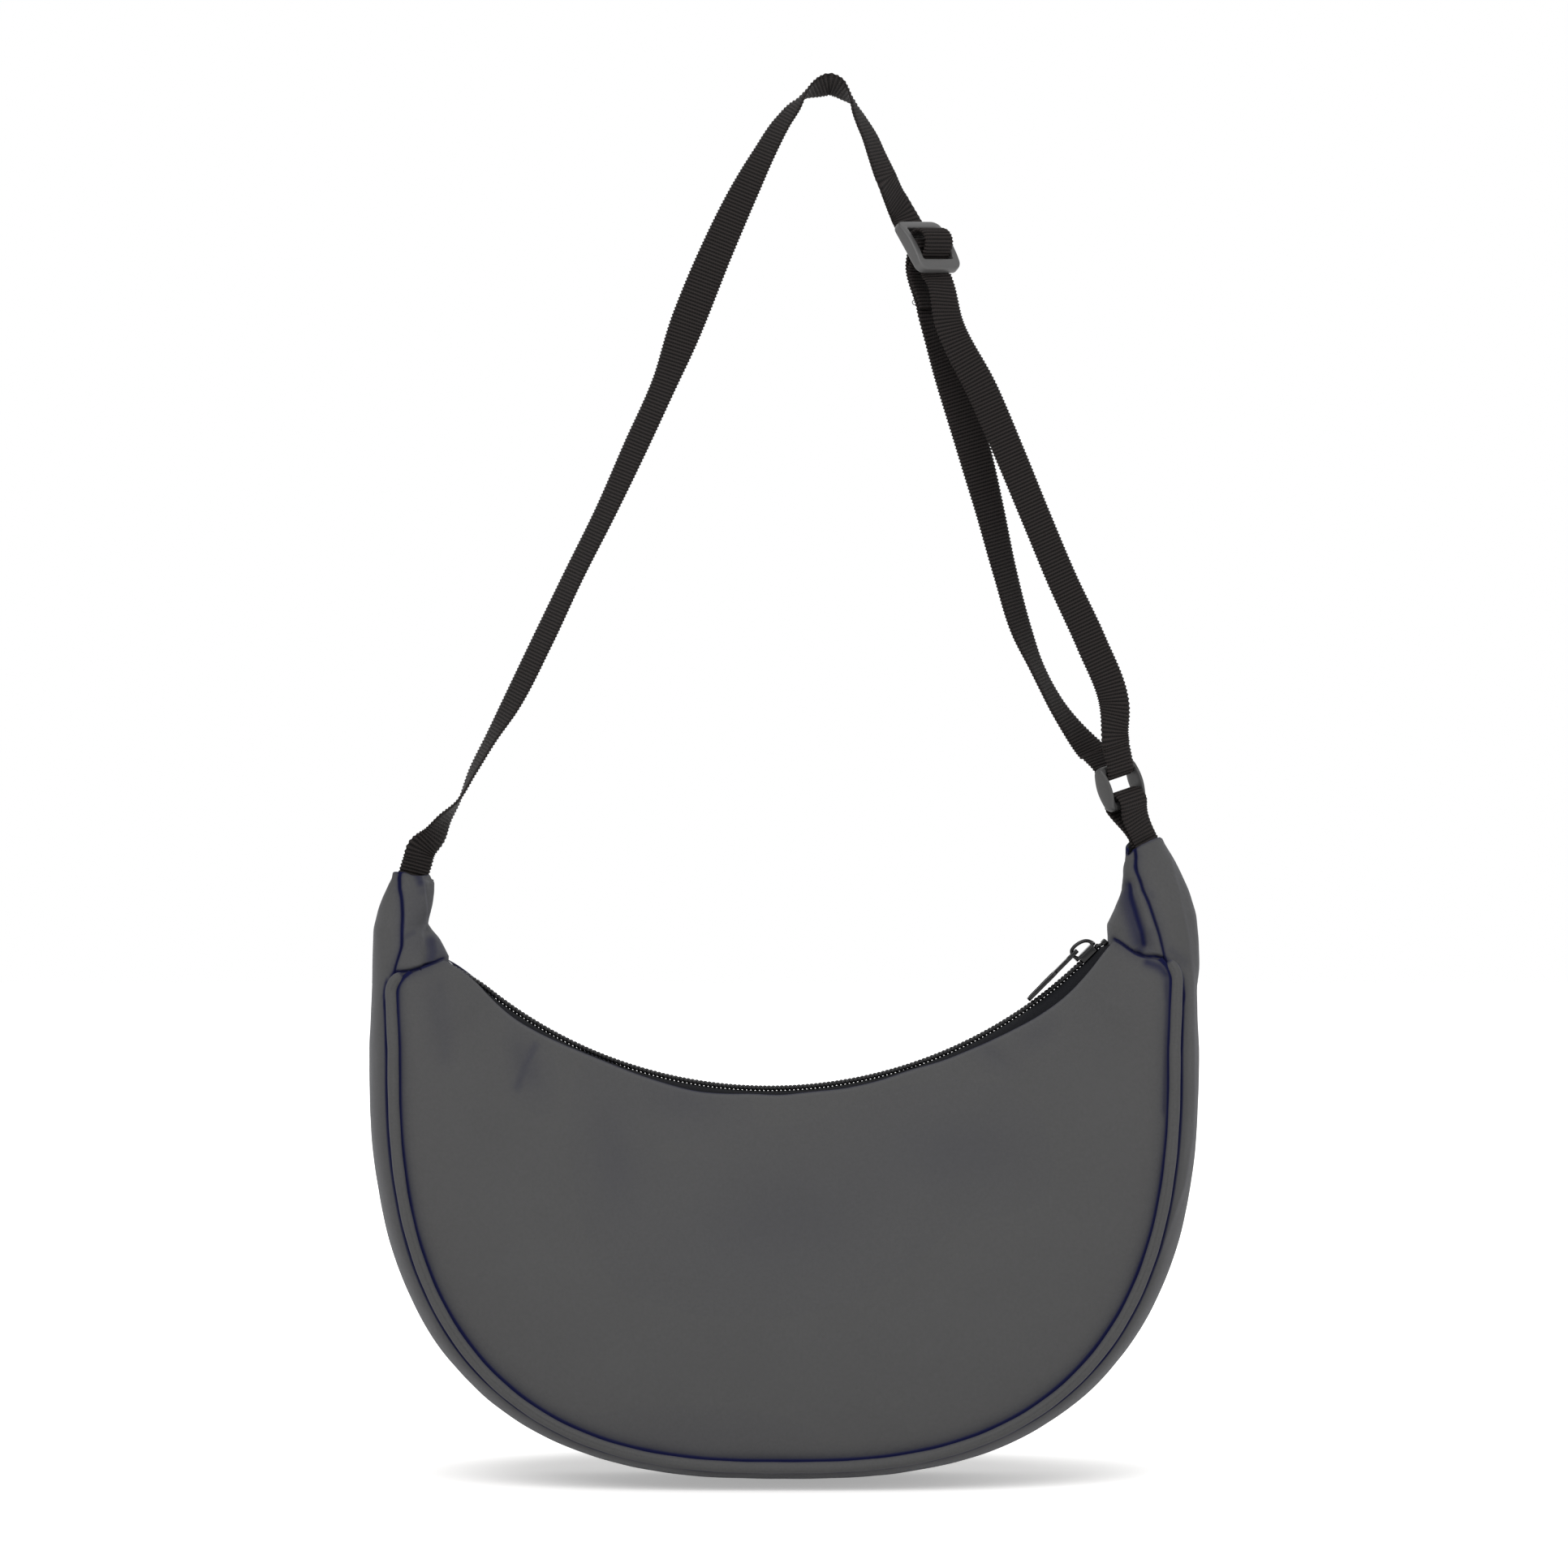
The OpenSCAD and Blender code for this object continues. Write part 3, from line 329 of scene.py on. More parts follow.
def away(points, line):
    """Distance from each point to a line of points."""
    line = np.asarray(line, float)
    best = np.full(points.shape[:-1], np.inf)
    for a, b in zip(line[:-1], line[1:]):
        d = b - a
        t = np.clip(((points - a) @ d) / (d @ d), 0, 1)
        best = np.minimum(best, np.linalg.norm(points - a - t[..., None] * d, axis=-1))
    return best


def grid_normals(grid, towards):
    """Normals of a grid, all turned over if most would face away from the given directions."""
    normals = unit(np.cross(np.gradient(grid, axis=0), np.gradient(grid, axis=1)))
    return normals * np.sign(np.mean(np.sum(normals * towards, axis=-1)))


def smooth_noise(points, scale, seed):
    """Soft waves from a few sine products, the same at each run."""
    rng = np.random.default_rng(seed)
    total = np.zeros(points.shape[:-1])
    for _ in range(7):
        direction = unit(rng.normal(size=3))
        phase = rng.uniform(0, 2 * np.pi)
        bend = unit(rng.normal(size=3))
        wave = points @ direction * 2 * np.pi / (scale * rng.uniform(0.7, 1.6))
        total += np.sin(wave + phase + 1.3 * np.sin(points @ bend * 2 * np.pi / (scale * 2.3)))
    return total / 7


# Solids are (points, faces of four, closing faces of any size)
def grid_faces(rows, cols, start=0, wrap=False, closed=False):
    """Faces of a grid of points; wrap joins its last column to its first, and closed its last row."""
    i, j = np.meshgrid(np.arange(rows if closed else rows - 1), np.arange(cols if wrap else cols - 1),
                       indexing="ij")
    here, below = i * cols, (i + 1) % rows * cols
    k = (j + 1) % cols
    return start + xyz(here + j, below + j, below + k, here + k).reshape(-1, 4)


def bar_solid(grid):
    """A row of rings as a solid, with a face over each end."""
    rows, cols = grid.shape[:2]
    ends = [np.arange(cols), (rows - 1) * cols + np.arange(cols)[::-1]]
    return grid.reshape(-1, 3), grid_faces(rows, cols, wrap=True), ends


def tube(path, radii, sides, flat=1.0, up=(0, 1, 0)):
    """A tube along a path, stretched by flat along up."""
    heading = unit(np.gradient(path, axis=0))
    deep = unit(up - np.sum(up * heading, axis=1, keepdims=True) * heading)
    a = 2 * np.pi * np.arange(sides)[None, :, None] / sides
    ring = np.cos(a) * flat * deep[:, None] + np.sin(a) * np.cross(heading, deep)[:, None]
    return bar_solid(path[:, None] + np.broadcast_to(radii, len(path))[:, None, None] * ring)


def joined(solids):
    points, faces, ends, start = [], [], [], 0
    for p, f, e in solids:
        points.append(p)
        faces.append(f + start)
        ends += [np.asarray(x) + start for x in e]
        start += len(p)
    return np.concatenate(points), np.concatenate(faces), ends


def moved(solid, offset):
    points, faces, ends = solid
    return points + np.asarray(offset, float), faces, ends


def make_piece(name, solid, material, body, replaces=(), values=None):
    """One mesh piece, with values as attributes of its points."""
    points, faces, ends = solid
    mesh = bpy.data.meshes.new(name)
    mesh.from_pydata((points * MM).tolist(), [], faces.tolist() + [list(map(int, end)) for end in ends])
    mesh.validate()
    for key, data in (values or {}).items():
        data = np.asarray(data, np.float32)
        if data.ndim == 1:
            mesh.attributes.new(key, "FLOAT", "POINT").data.foreach_set("value", data)
        else:
            mesh.attributes.new(key, "FLOAT_VECTOR", "POINT").data.foreach_set("vector", data.ravel())
    mesh.materials.append(material)
    mesh.polygons.foreach_set("use_smooth", [True] * len(mesh.polygons))
    bm = bmesh.new()
    bm.from_mesh(mesh)
    bmesh.ops.recalc_face_normals(bm, faces=bm.faces)
    bm.to_mesh(mesh)
    bm.free()
    mesh.update()
    piece = bpy.data.objects.new(name, mesh)
    bpy.context.scene.collection.objects.link(piece)
    if body:
        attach(piece, body)
    if replaces:
        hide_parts(*replaces)
    return piece


def shell_piece(name, surface, normals, wall, edge, material, replaces, values):
    """A closed shell of cloth whose outer face is the surface, rounded where edge, its distance, is small."""
    shape = 1 - np.clip(1 - edge / (wall / 2), 0, 1) ** 2
    thick = np.maximum(wall * np.sqrt(shape), wall * 0.15)[..., None]
    outer = surface - normals * (wall - thick) / 2
    inner = surface - normals * (wall + thick) / 2
    rows, cols = surface.shape[:2]
    n = rows * cols
    at = np.arange(n).reshape(rows, cols)
    rim = np.concatenate([at[0], at[1:, -1], at[-1, -2::-1], at[-2:0:-1, 0]])
    after = np.roll(rim, -1)
    faces = np.concatenate([
        grid_faces(rows, cols), grid_faces(rows, cols, n)[:, ::-1], xyz(rim, rim + n, after + n, after)
    ])
    points = np.concatenate([outer.reshape(-1, 3), inner.reshape(-1, 3)])
    doubled = {key: np.concatenate([data.reshape((n,) + data.shape[2:])] * 2) for key, data in values.items()}
    return make_piece(name, (points, faces, []), material, "bag", replaces, doubled)


# Materials
class Value:
    """A number in a material's nodes: sums and products of values add the nodes for them."""

    def __init__(self, tree, socket):
        self.tree = tree
        self.socket = socket

    def maths(self, operation, other=0.0, clamp=False):
        made = node(self.tree, "Math", {0: self, 1: other}, operation=operation, use_clamp=clamp)
        return Value(self.tree, made.outputs[0])

    def __add__(self, other):
        return self.maths("ADD", other)

    def __sub__(self, other):
        return self.maths("SUBTRACT", other)

    def __mul__(self, other):
        return self.maths("MULTIPLY", other)


def feed(tree, target, inputs):
    """Sets the inputs of a node, or links them where they come from another node."""
    for key, value in inputs.items():
        if isinstance(value, Value):
            value = value.socket
        if isinstance(value, bpy.types.NodeSocket):
            tree.links.new(value, target.inputs[key])
        else:
            target.inputs[key].default_value = value


def node(tree, kind, inputs=None, **settings):
    made = tree.nodes.new("ShaderNode" + kind)
    for key, value in settings.items():
        setattr(made, key, value)
    feed(tree, made, inputs or {})
    return made


def attribute(tree, name):
    return Value(tree, node(tree, "Attribute", attribute_name=name).outputs["Fac"])


def lay_of(tree):
    """A cloth's own coordinates, along and across its threads."""
    vector = node(tree, "Attribute", attribute_name="lay").outputs["Vector"]
    split = node(tree, "SeparateXYZ", {0: vector})
    return Value(tree, split.outputs[0]), Value(tree, split.outputs[1])


def noise(tree, scale, detail):
    place = node(tree, "TexCoord").outputs["Object"]
    made = node(tree, "TexNoise", {"Vector": place, "Scale": scale, "Detail": detail})
    return Value(tree, made.outputs["Fac"])


def blank_material(name, **sockets):
    made = bpy.data.materials.new(name)
    made.use_nodes = True
    shader = made.node_tree.nodes["Principled BSDF"]
    for key, value in sockets.items():
        shader.inputs[key.replace("_", " ")].default_value = value
    return made, made.node_tree, shader


def tinted(tree, colour, other, share):
    return node(tree, "Mix", {0: share, 6: colour, 7: other}, data_type="RGBA").outputs[2]


def scaled_colour(tree, colour, factor):
    return node(tree, "VectorMath", {0: colour, "Scale": factor}, operation="SCALE").outputs[0]


def bump(tree, height, distance, strength, **under):
    inputs = {"Height": height, "Distance": distance, "Strength": strength}
    return node(tree, "Bump", inputs | under).outputs[0]


# NAVY is the colour of painted shade in seams, creases, folds and dents; PALE is the colour of painted
# highlights along folds and ridges.
NAVY = (0.0065, 0.0080, 0.0420, 1)
PALE = (0.155, 0.155, 0.172, 1)
WEAVE_PITCH = 0.00062
RIB_PITCH = 1.45
THREAD_PITCH = 0.0011
TWILL_PITCH = 0.0007
HERRINGBONE = 0.0014


def cloth_material(name, colour, sheen=0.2):
    """Matt woven cloth: fine plain weave, slubs, soft variation, painted navy shade in its seams, creases,
    folds and dents, and a painted pale highlight on its folds and ridges.
    """
    made, tree, shader = blank_material(name, Roughness=0.86, Sheen_Roughness=0.42,
                                        Sheen_Tint=(0.90, 0.92, 1.0, 1))
    along, over = lay_of(tree)
    turns = 2 * math.pi / WEAVE_PITCH
    weave = (along * turns).maths("SINE") * (over * turns).maths("SINE")
    slub = noise(tree, 900, 2)
    factor = weave * 0.045 + 1.0 + (slub - 0.5) * 0.22 + (noise(tree, 26, 3) - 0.5) * 0.10
    base = scaled_colour(tree, colour, factor)
    # Painted highlight: the colour turns pale along folds and ridges, by an attribute of the mesh.
    base = tinted(tree, base, PALE, attribute(tree, "painted_highlight").maths("MULTIPLY", 1.0, clamp=True))
    # Painted shade: the seam attribute turns the colour navy in seams, creases, folds and dents, and turns
    # down sheen and gloss there.
    seam = attribute(tree, "seam")
    threads = (weave * 0.10 + seam).maths("MULTIPLY", seam.maths("GREATER_THAN", 0.004), clamp=True)
    quiet = (seam * -0.85).maths("ADD", 1.0, clamp=True)
    fine = bump(tree, weave * 0.5 + slub * 0.8, 0.00006, 0.9)
    feed(tree, shader, {
        "Base Color": tinted(tree, base, NAVY, threads), "Sheen Weight": quiet * sheen,
        "Specular IOR Level": quiet * 0.28, "Normal": bump(tree, noise(tree, 75, 3), 0.0005, 0.6, Normal=fine)
    })
    return made


def webbing_material(name, colour):
    """Black ribbed webbing: fine warp threads over each rib, matt with a dull gleam, and the rib crests
    painted lighter as highlight and the gaps between painted darker as shade.
    """
    made, tree, shader = blank_material(name, Roughness=0.62, Specular_IOR_Level=0.10)
    along, over = lay_of(tree)
    ribs = along * (2 * math.pi / (RIB_PITCH * MM))
    offset = (ribs * 0.5).maths("SINE").maths("SIGN") * 1.57
    threads = (over * (2 * math.pi / THREAD_PITCH) + offset).maths("SINE")
    # Painted highlight and shade: the colour is lighter on each rib's crest and darker between the ribs.
    crest = ribs.maths("COSINE") * 0.5 + 0.5
    slub = noise(tree, 1400, 2)
    factor = crest * 1.35 + 0.14 + threads * 0.14 + (slub - 0.5) * 0.5
    feed(tree, shader, {
        "Base Color": scaled_colour(tree, colour, factor),
        "Normal": bump(tree, threads * 0.5 + slub, 0.00012, 0.8)
    })
    return made


def tape_material(name, colour):
    """Black zip tape with a fine herringbone."""
    made, tree, shader = blank_material(name, Roughness=0.68, Specular_IOR_Level=0.10)
    along, over = lay_of(tree)
    twill = ((along + over.maths("PINGPONG", HERRINGBONE)) * (2 * math.pi / TWILL_PITCH)).maths("SINE")
    factor = twill * 0.16 + 0.92 + noise(tree, 700, 2) * 0.2
    feed(tree, shader, {
        "Base Color": scaled_colour(tree, colour, factor), "Normal": bump(tree, twill, 0.00006, 0.8)
    })
    return made


def moulded_material(name, colour, rough, grain, scale, **sockets):
    """Moulded or coated surface: even colour with faint clouding, and fine grain in its gloss."""
    made, tree, shader = blank_material(name, **sockets)
    fine = noise(tree, scale, 3)
    feed(tree, shader, {
        "Base Color": scaled_colour(tree, colour, noise(tree, 90, 3) * 0.16 + 0.92),
        "Roughness": fine * 0.12 + (rough - 0.06), "Normal": bump(tree, fine, grain, 0.7)
    })
    return made


CLOTH = cloth_material("bag cloth", (0.0768, 0.0768, 0.0778))
PIPING = cloth_material("piping cloth", (0.0785, 0.0785, 0.0795))
LINING = cloth_material("lining cloth", (0.030, 0.030, 0.034), 0.1)
WEBBING = webbing_material("black webbing", (0.0200, 0.0168, 0.0162))
TAPE = tape_material("zip tape", (0.0087, 0.0091, 0.0112))
COIL = moulded_material("nylon coil", (0.007, 0.007, 0.008), 0.30, 0.00002, 2500, Specular_IOR_Level=0.22)
ENAMEL = moulded_material("black enamel", (0.004, 0.004, 0.0045), 0.16, 0.000006, 900,
                          Specular_IOR_Level=0.28)
PLASTIC = moulded_material("grey moulded plastic", (0.078, 0.077, 0.077), 0.42, 0.00003, 2200)
# The ring uses a copy of the grey plastic at about half its colour.
RING_PLASTIC = moulded_material("dark moulded plastic", (0.039, 0.0385, 0.0385), 0.46, 0.00003, 2200)
THREAD = moulded_material("sewing thread", (0.016, 0.0155, 0.0155), 0.6, 0.00003, 3000)

# Panels
# Drop of the panels' mouth edge under the teeth, by share of the arc from left to right
MOUTH_EDGE = np.array([
    [0.00, 3.0], [0.02, 1.8], [0.04, 1.1], [0.056, 1.1], [0.074, 1.8], [0.093, 2.6], [0.127, 3.4],
    [0.157, 3.2], [0.20, 2.5], [0.25, 2.0], [0.295, 2.5], [0.34, 3.2], [0.386, 3.9], [0.43, 3.4],
    [0.455, 2.9], [0.495, 3.2], [0.54, 2.7], [0.583, 3.0], [0.628, 2.8], [0.674, 2.2], [0.72, 3.1],
    [0.767, 3.7], [0.815, 4.8], [0.864, 6.0], [0.90, 6.2], [0.95, 4.9], [0.98, 3.8], [1.00, 3.4],
])
TAPE_DROP = COIL_T + SEAM_GAP / 2
TAPE_SHOULDER = 5.6
TAPE_OUT = 8.6
MOUTH_DROP = TAPE_DROP + 4.6
PANEL_OFF = TAPE_T + SEAM_GAP + WALL
NEAR_ROWS = np.array([0, 0.25, 0.5, 0.8, 1.15, 1.55, 2.0, 2.6, 3.4, 4.5, 6.0, 8.0])
MIDDLE_ROWS = 46
END_COLUMNS = np.array([0, 0.03, 0.06, 0.1, 0.14, 0.19, 0.25, 0.33, 0.43, 0.56, 0.75])
COLUMNS = np.concatenate([END_COLUMNS, np.arange(1, STATIONS - 0.99, 0.2), (STATIONS - END_COLUMNS)[::-1]])
MOUTH_OVER = 1.8 / ZIP_R
# From the piping's line in to the panels' lower edge
LOW_INSET = 2.0
# The horn seams bow a little between the zip's end and the gusset, and run on past the panels' corners
LEFT_SEAM_BOW = 0.5
RIGHT_SEAM_BOW = 2.3
SEAM_REACH = 7.0
# The panels' lower edges rise this much into the piping, over this distance
EDGE_TUCK = 1.7
EDGE_TUCK_REACH = 1.3
# How soon the panels reach their full depth below the mouth, and how they draw in again at the piping
DEPTH_POWER = 1.9
DRAW_IN = 2.5
DRAW_POWER = 6

# Soft dents of a panel, as seen from the front: x, z, half width, half height, lean, depth
FRONT_DENTS = [
    [-124.0, -405.0, 5.5, 11.0, 20, 1.5],
    [-160.0, -386.0, 5.0, 17.0, 12, 0.9],
    [-60.0, -420.0, 16.0, 9.0, -10, 0.8],
    [67.0, -400.5, 8.0, 4.0, -35, 0.8],
    [86.0, -392.0, 9.0, 4.5, 35, 0.7],
    [-88.0, -445.0, 10.0, 26.0, 8, 0.8],
    [52.0, -440.0, 30.0, 16.0, 0, 0.8],
    [-20.0, -470.0, 40.0, 22.0, 10, 0.7],
    [-150.0, -430.0, 10.0, 34.0, -8, -0.7],
    [105.0, -425.0, 12.0, 30.0, 6, -0.8],
    [-60.0, -560.0, 34.0, 9.0, 0, 0.5],
]
BACK_DENTS = [
    [-110.0, -412.0, 6.0, 12.0, -18, 1.2],
    [40.0, -425.0, 18.0, 8.0, 10, 0.9],
    [95.0, -400.0, 7.0, 14.0, 14, 1.0],
    [-30.0, -470.0, 36.0, 20.0, -12, 0.9],
    [110.0, -450.0, 12.0, 30.0, -6, -0.7],
]
# Strokes of painted navy shade: half width, strength and line of each, as seen from the front
FRONT_SHADE_STROKES = [
    [2.0, 0.72, [(130.5, -362.8), (135.6, -364.8), (139.0, -368.6)]],
    [1.5, 0.55, [(138.5, -371.0), (139.2, -380.0), (138.6, -400.0), (137.6, -425.0)]],
    [2.0, 0.30, [(-121.0, -397.0), (-125.0, -406.0), (-128.0, -414.0)]],
    [3.0, 0.10, [(-160.0, -372.0), (-157.0, -390.0), (-158.0, -402.0)]],
]


def dents(where, table):
    total = np.zeros(where.shape[:-1])
    for x, z, wide, high, lean, depth in table:
        across, up = spun(where[..., 0] - x, where[..., 1] - z, -lean)
        total += depth * bell(across, wide) * bell(up, high)
    return total


def strokes(where, table):
    total = np.zeros(where.shape[:-1])
    for width, strength, line in table:
        total = np.maximum(total, strength * bell(away(where, line), width))
    return total


def ladder(lengths):
    """Shares along lines of the given lengths, close together near both ends."""
    out = []
    for length in lengths:
        first = NEAR_ROWS * min(1.0, length / (3.0 * NEAR_ROWS[-1])) / length
        inner = np.linspace(first[-1], 1 - first[-1], MIDDLE_ROWS)[1:-1]
        out.append(np.concatenate([first, inner, (1 - first)[::-1]]))
    return np.array(out)


def mouth_line(share, r, y):
    return on_arc(mix(LEFT_ANGLE - MOUTH_OVER, RIGHT_ANGLE + MOUTH_OVER, share), r, y)


def panel_rows(k, s, top, low, inset):
    """Panel surface at stations k and shares s down from the mouth, positive away from the middle plane."""
    depth = mix(top[:, 1:2], depth_at(k)[:, None] - inset, 1 - (1 - s) ** DEPTH_POWER)
    depth = depth + fullness(k)[:, None] * (DOME * np.sin(np.pi * s) - DRAW_IN * s**DRAW_POWER)
    return xyz(mix(top[:, 0:1], low[:, 0:1], s), depth, mix(top[:, 2:3], low[:, 1:2], s))


def panel_grid(side):
    """The panel's plain surface: at each station, from the mouth down to the piping."""
    k = COLUMNS
    drop = smooth(MOUTH_EDGE[:, 0], MOUTH_EDGE[:, 1], k / STATIONS)
    mouth_y = mix(TAPE_SHOULDER, TAPE_OUT, np.clip(drop / MOUTH_DROP, 0, 1.2)) + PANEL_OFF
    top = mouth_line(k / STATIONS, ZIP_R + drop, mouth_y)
    low = turned_in(outline(k, SIDE_INSET + LOW_INSET, BASE_INSET + LOW_INSET, PIPE_SPLAY))
    s = ladder(np.linalg.norm(top[:, [0, 2]] - low, axis=1))
    grid = panel_rows(k, s, top, low, 0)
    bow = LEFT_SEAM_BOW * bell(k, 1.0) + RIGHT_SEAM_BOW * bell(STATIONS - k, 1.0)
    grid[..., 2] -= bow[:, None] * np.sin(np.pi * s) * 4 * s * (1 - s)
    return grid * [1, side, 1]


def horn_seam(side):
    """The seam from the front panel to a horn as seen from the front, run on past the panel's corner."""
    line = seen(panel_grid(FRONT)[0 if side == LEFT else -1] + BAG_AT)
    return np.concatenate([line, [line[-1] + [side * SEAM_REACH, -0.2]]])


def panel_piece(name, side, table, seed, painted, replaces):
    grid = panel_grid(side)
    place = grid + BAG_AT
    where = seen(place)
    mouth = away(grid, grid[:, 0])
    low = away(grid, grid[:, -1])
    beside = np.minimum(away(grid, grid[0]), away(grid, grid[-1]))
    sewn = np.minimum(low, beside)
    dented = dents(where, table)
    push = dented + 0.25 * smooth_noise(place, 60, seed) + 0.12 * smooth_noise(place, 22, seed + 1)
    push *= (1 - bell(sewn, 9)) * (1 - 0.6 * bell(mouth, 6))
    push += 0.55 * bell(sewn, 0.9) + 0.35 * bell(sewn, 4.0)
    push += 0.10 * np.sin(COLUMNS * 2.6)[:, None] * bell(sewn, 3.0)
    push -= EDGE_TUCK * np.clip(1 - low / EDGE_TUCK_REACH, 0, 1)
    surface = grid - grid_normals(grid, [0, side, 0]) * push[..., None]
    ragged = 1 + 0.25 * smooth_noise(place, 14, seed + 2)
    # Painted shade: navy along the seams and the mouth edge, in the dents and in the strokes given
    tint = bell(np.maximum(low - 0.55, 0), 0.75) + 0.34 * bell(low, 2.8) * ragged
    tint += bell(np.maximum(beside - 0.1, 0), 0.45) + 0.2 * bell(beside, 2.4)
    tint += 0.85 * bell(mouth, 0.40) + 0.12 * np.clip(dented, 0, 2)
    tint = np.maximum(tint, strokes(where, painted))
    # Painted highlight: a pale band just below the mouth edge
    values = {
        "lay": place[..., [0, 2, 1]] * MM, "seam": np.clip(tint, 0, 1), "painted_highlight": 0.10 * bell(mouth - 1.2, 0.6)
    }
    return shell_piece(name, surface + BAG_AT, grid_normals(surface, [0, side, 0]), WALL,
                       np.minimum(sewn, mouth), CLOTH, replaces, values)


panel_piece("front_cloth", FRONT, FRONT_DENTS, 11, FRONT_SHADE_STROKES, ["front_panel"])
panel_piece("back_cloth", BACK, BACK_DENTS, 23, [], ["back_panel"])


# Linings
def lining_piece(name, grid, towards, slack, replaces):
    normals = grid_normals(grid, towards)
    place = grid + BAG_AT
    place = place - normals * slack(place)
    edge = np.minimum(away(grid, grid[:, 0]), away(grid, grid[:, -1]))
    return shell_piece(name, place, normals, LINING_T, edge, LINING, replaces,
                       {"lay": place[..., [0, 2, 1]] * MM})


def panel_lining(name, side, seed, replaces):
    k = np.linspace(0, STATIONS, 121)
    s = np.linspace(0, 1, 24)
    top = mouth_line(k / STATIONS, ZIP_R + MOUTH_DROP + 6 + 2 * SEAM_GAP, TAPE_OUT + TAPE_T)
    low = outline(k, SIDE_INSET + 2 * PANEL_INSET, BASE_INSET + 2 * PANEL_INSET, 0)
    grid = panel_rows(k, s, top, low, WALL + SEAM_GAP) * [1, side, 1]
    inside = np.sin(np.pi * s) * np.sin(np.pi * k / STATIONS)[:, None]
    lining_piece(name, grid, [0, side, 0],
                 lambda place: (0.5 * (1 + smooth_noise(place, 34, seed)) * inside)[..., None], replaces)


panel_lining("front_lining_cloth", FRONT, 31, ["front_lining"])
panel_lining("back_lining_cloth", BACK, 37, ["back_lining"])

# Gusset
ACROSS = 57
GUSSET_ROWS = 431
UNDER_PIPING = 2.1
# How far the gusset's edges reach into the piping
GUSSET_LAP = 0.45
BELLY_MIDDLE = np.array([0, 0, BELLY_H])
# Strokes of painted navy shade on the gusset's front: half width, strength and line of each, as seen from the
# front
GUSSET_SHADE_STROKES = [
    [0.6, 0.95, [(-179.3, -367.2), (-182.2, -371.2), (-183.2, -375.5), (-183.2, -377.5)]],
    [0.6, 0.95, [(139.2, -362.4), (143.2, -365.6), (145.2, -370.0), (145.7, -374.5), (145.7, -377.0)]],
    [2.4, 0.45, [(138.0, -364.0), (142.5, -369.0), (144.0, -375.0)]],
    [1.6, 0.22, [(132.5, -335.5), (130.0, -333.0)]],
    [1.8, 0.18, [(140.0, -358.0), (146.0, -363.0)]],
]
# Line of a crease on the gusset's front, as seen from the front: the cloth is raised along it and given a
# painted highlight
GUSSET_CREASE = [
    (140.6, -321.6), (145.8, -341.0), (148.0, -353.0), (149.6, -372.0), (150.2, -400.0), (149.6, -434.0),
    (146.0, -455.0), (138.0, -478.0), (132.6, -488.0)
]


def across_shares(count):
    """Shares from -1 to 1, closer together near both edges."""
    u = np.linspace(-1, 1, count)
    return u * 0.55 + 0.45 * np.sin(u * np.pi / 2)


def gusset_piece():
    t = np.linspace(1, 0, 13)
    stations = np.arange(1.0, STATIONS - 0.99, 0.5)
    sections = np.concatenate([
        horn_sections(LEFT_HORN, LEFT, t), belly_sections(stations, PIPE_R + WALL / 2 - GUSSET_LAP),
        horn_sections(RIGHT_HORN, RIGHT, t[::-1])
    ])
    angles = sections[:, 5:6] * across_shares(ACROSS)
    coarse = section_grid(sections, angles)
    along = run_length(coarse[:, ACROSS // 2])
    coarse[..., 2] -= rim_drop(angles, along[:, None], LEFT_RIM)
    coarse[..., 2] -= rim_drop(angles, (along[-1] - along)[:, None], RIGHT_RIM)
    in_belly = np.repeat([0.0, 1.0, 0.0], [len(t), len(stations), len(t)])
    fine = np.interp(np.linspace(0, 1, GUSSET_ROWS), np.linspace(0, 1, len(along)), along)
    grid = smooth(along, coarse, fine)
    belly = np.interp(fine, along, in_belly)[:, None]
    normals = grid_normals(grid, grid - BELLY_MIDDLE)
    place = grid + BAG_AT
    where = seen(place)
    front = place[..., 1] < 0
    across = run_length(grid)
    sewn = from_ends(across)
    mouth = from_ends(run_length(grid[:, ACROSS // 2]))[:, None]
    crease = away(where, GUSSET_CREASE)
    push = 0.35 * smooth_noise(place, 40, 41) + 0.15 * smooth_noise(place, 15, 42)
    push *= (1 - bell(sewn, 5)) * (1 - bell(mouth, 5))
    past = np.maximum(sewn - UNDER_PIPING * belly, 0)
    roll = (0.6 * bell(past, 0.9) + 0.25 * bell(past, 3.5)) * mix(1, np.clip((sewn - 0.4) / 1.3, 0, 1), belly)
    surface = grid - normals * (push + roll - 0.35 * bell(crease, 0.9) * front)[..., None]
    # Painted shade: navy along the seams, at the mouth and in the strokes given for the front
    tint = bell(np.maximum(past - mix(0.15, 1.5, belly), 0), mix(0.6, 0.4, belly)) + 0.22 * bell(past, 2.6)
    tint = np.maximum(tint + 0.6 * bell(mouth, 0.5), strokes(where, GUSSET_SHADE_STROKES) * front)
    # Painted highlight: a pale line along the front crease
    values = {
        "lay": xyz(fine[:, None], across - across[:, -1:] / 2, sewn) * MM, "seam": np.clip(tint, 0, 1),
        "painted_highlight": 0.32 * bell(crease, 0.35) * front
    }
    return shell_piece("gusset_cloth", surface + BAG_AT, normals, WALL * 0.8, np.minimum(sewn, mouth), CLOTH,
                       ["gusset"], values)


def gusset_lining():
    gap = SEAM_GAP + WALL
    sections = belly_sections(np.linspace(1, STATIONS - 1, 150), PIPE_R + SEAM_GAP + WALL / 2 + 1.25 * gap)
    reach = np.linalg.norm(sections[:, 2:4], axis=1, keepdims=True)
    sections[:, 2:4] *= (reach - gap) / reach
    grid = section_grid(sections, np.linspace(-90, 90, 25))
    lining_piece("gusset_lining_cloth", grid, grid - BELLY_MIDDLE, lambda place: 0.0, ["gusset_lining"])


gusset_piece()
gusset_lining()

# Piping
PIPE_SIDES = 20
# How far the piping runs up past its plain ends, and the length of its round tips
PIPE_REACH = 1.4
PIPE_TIP = 5.0


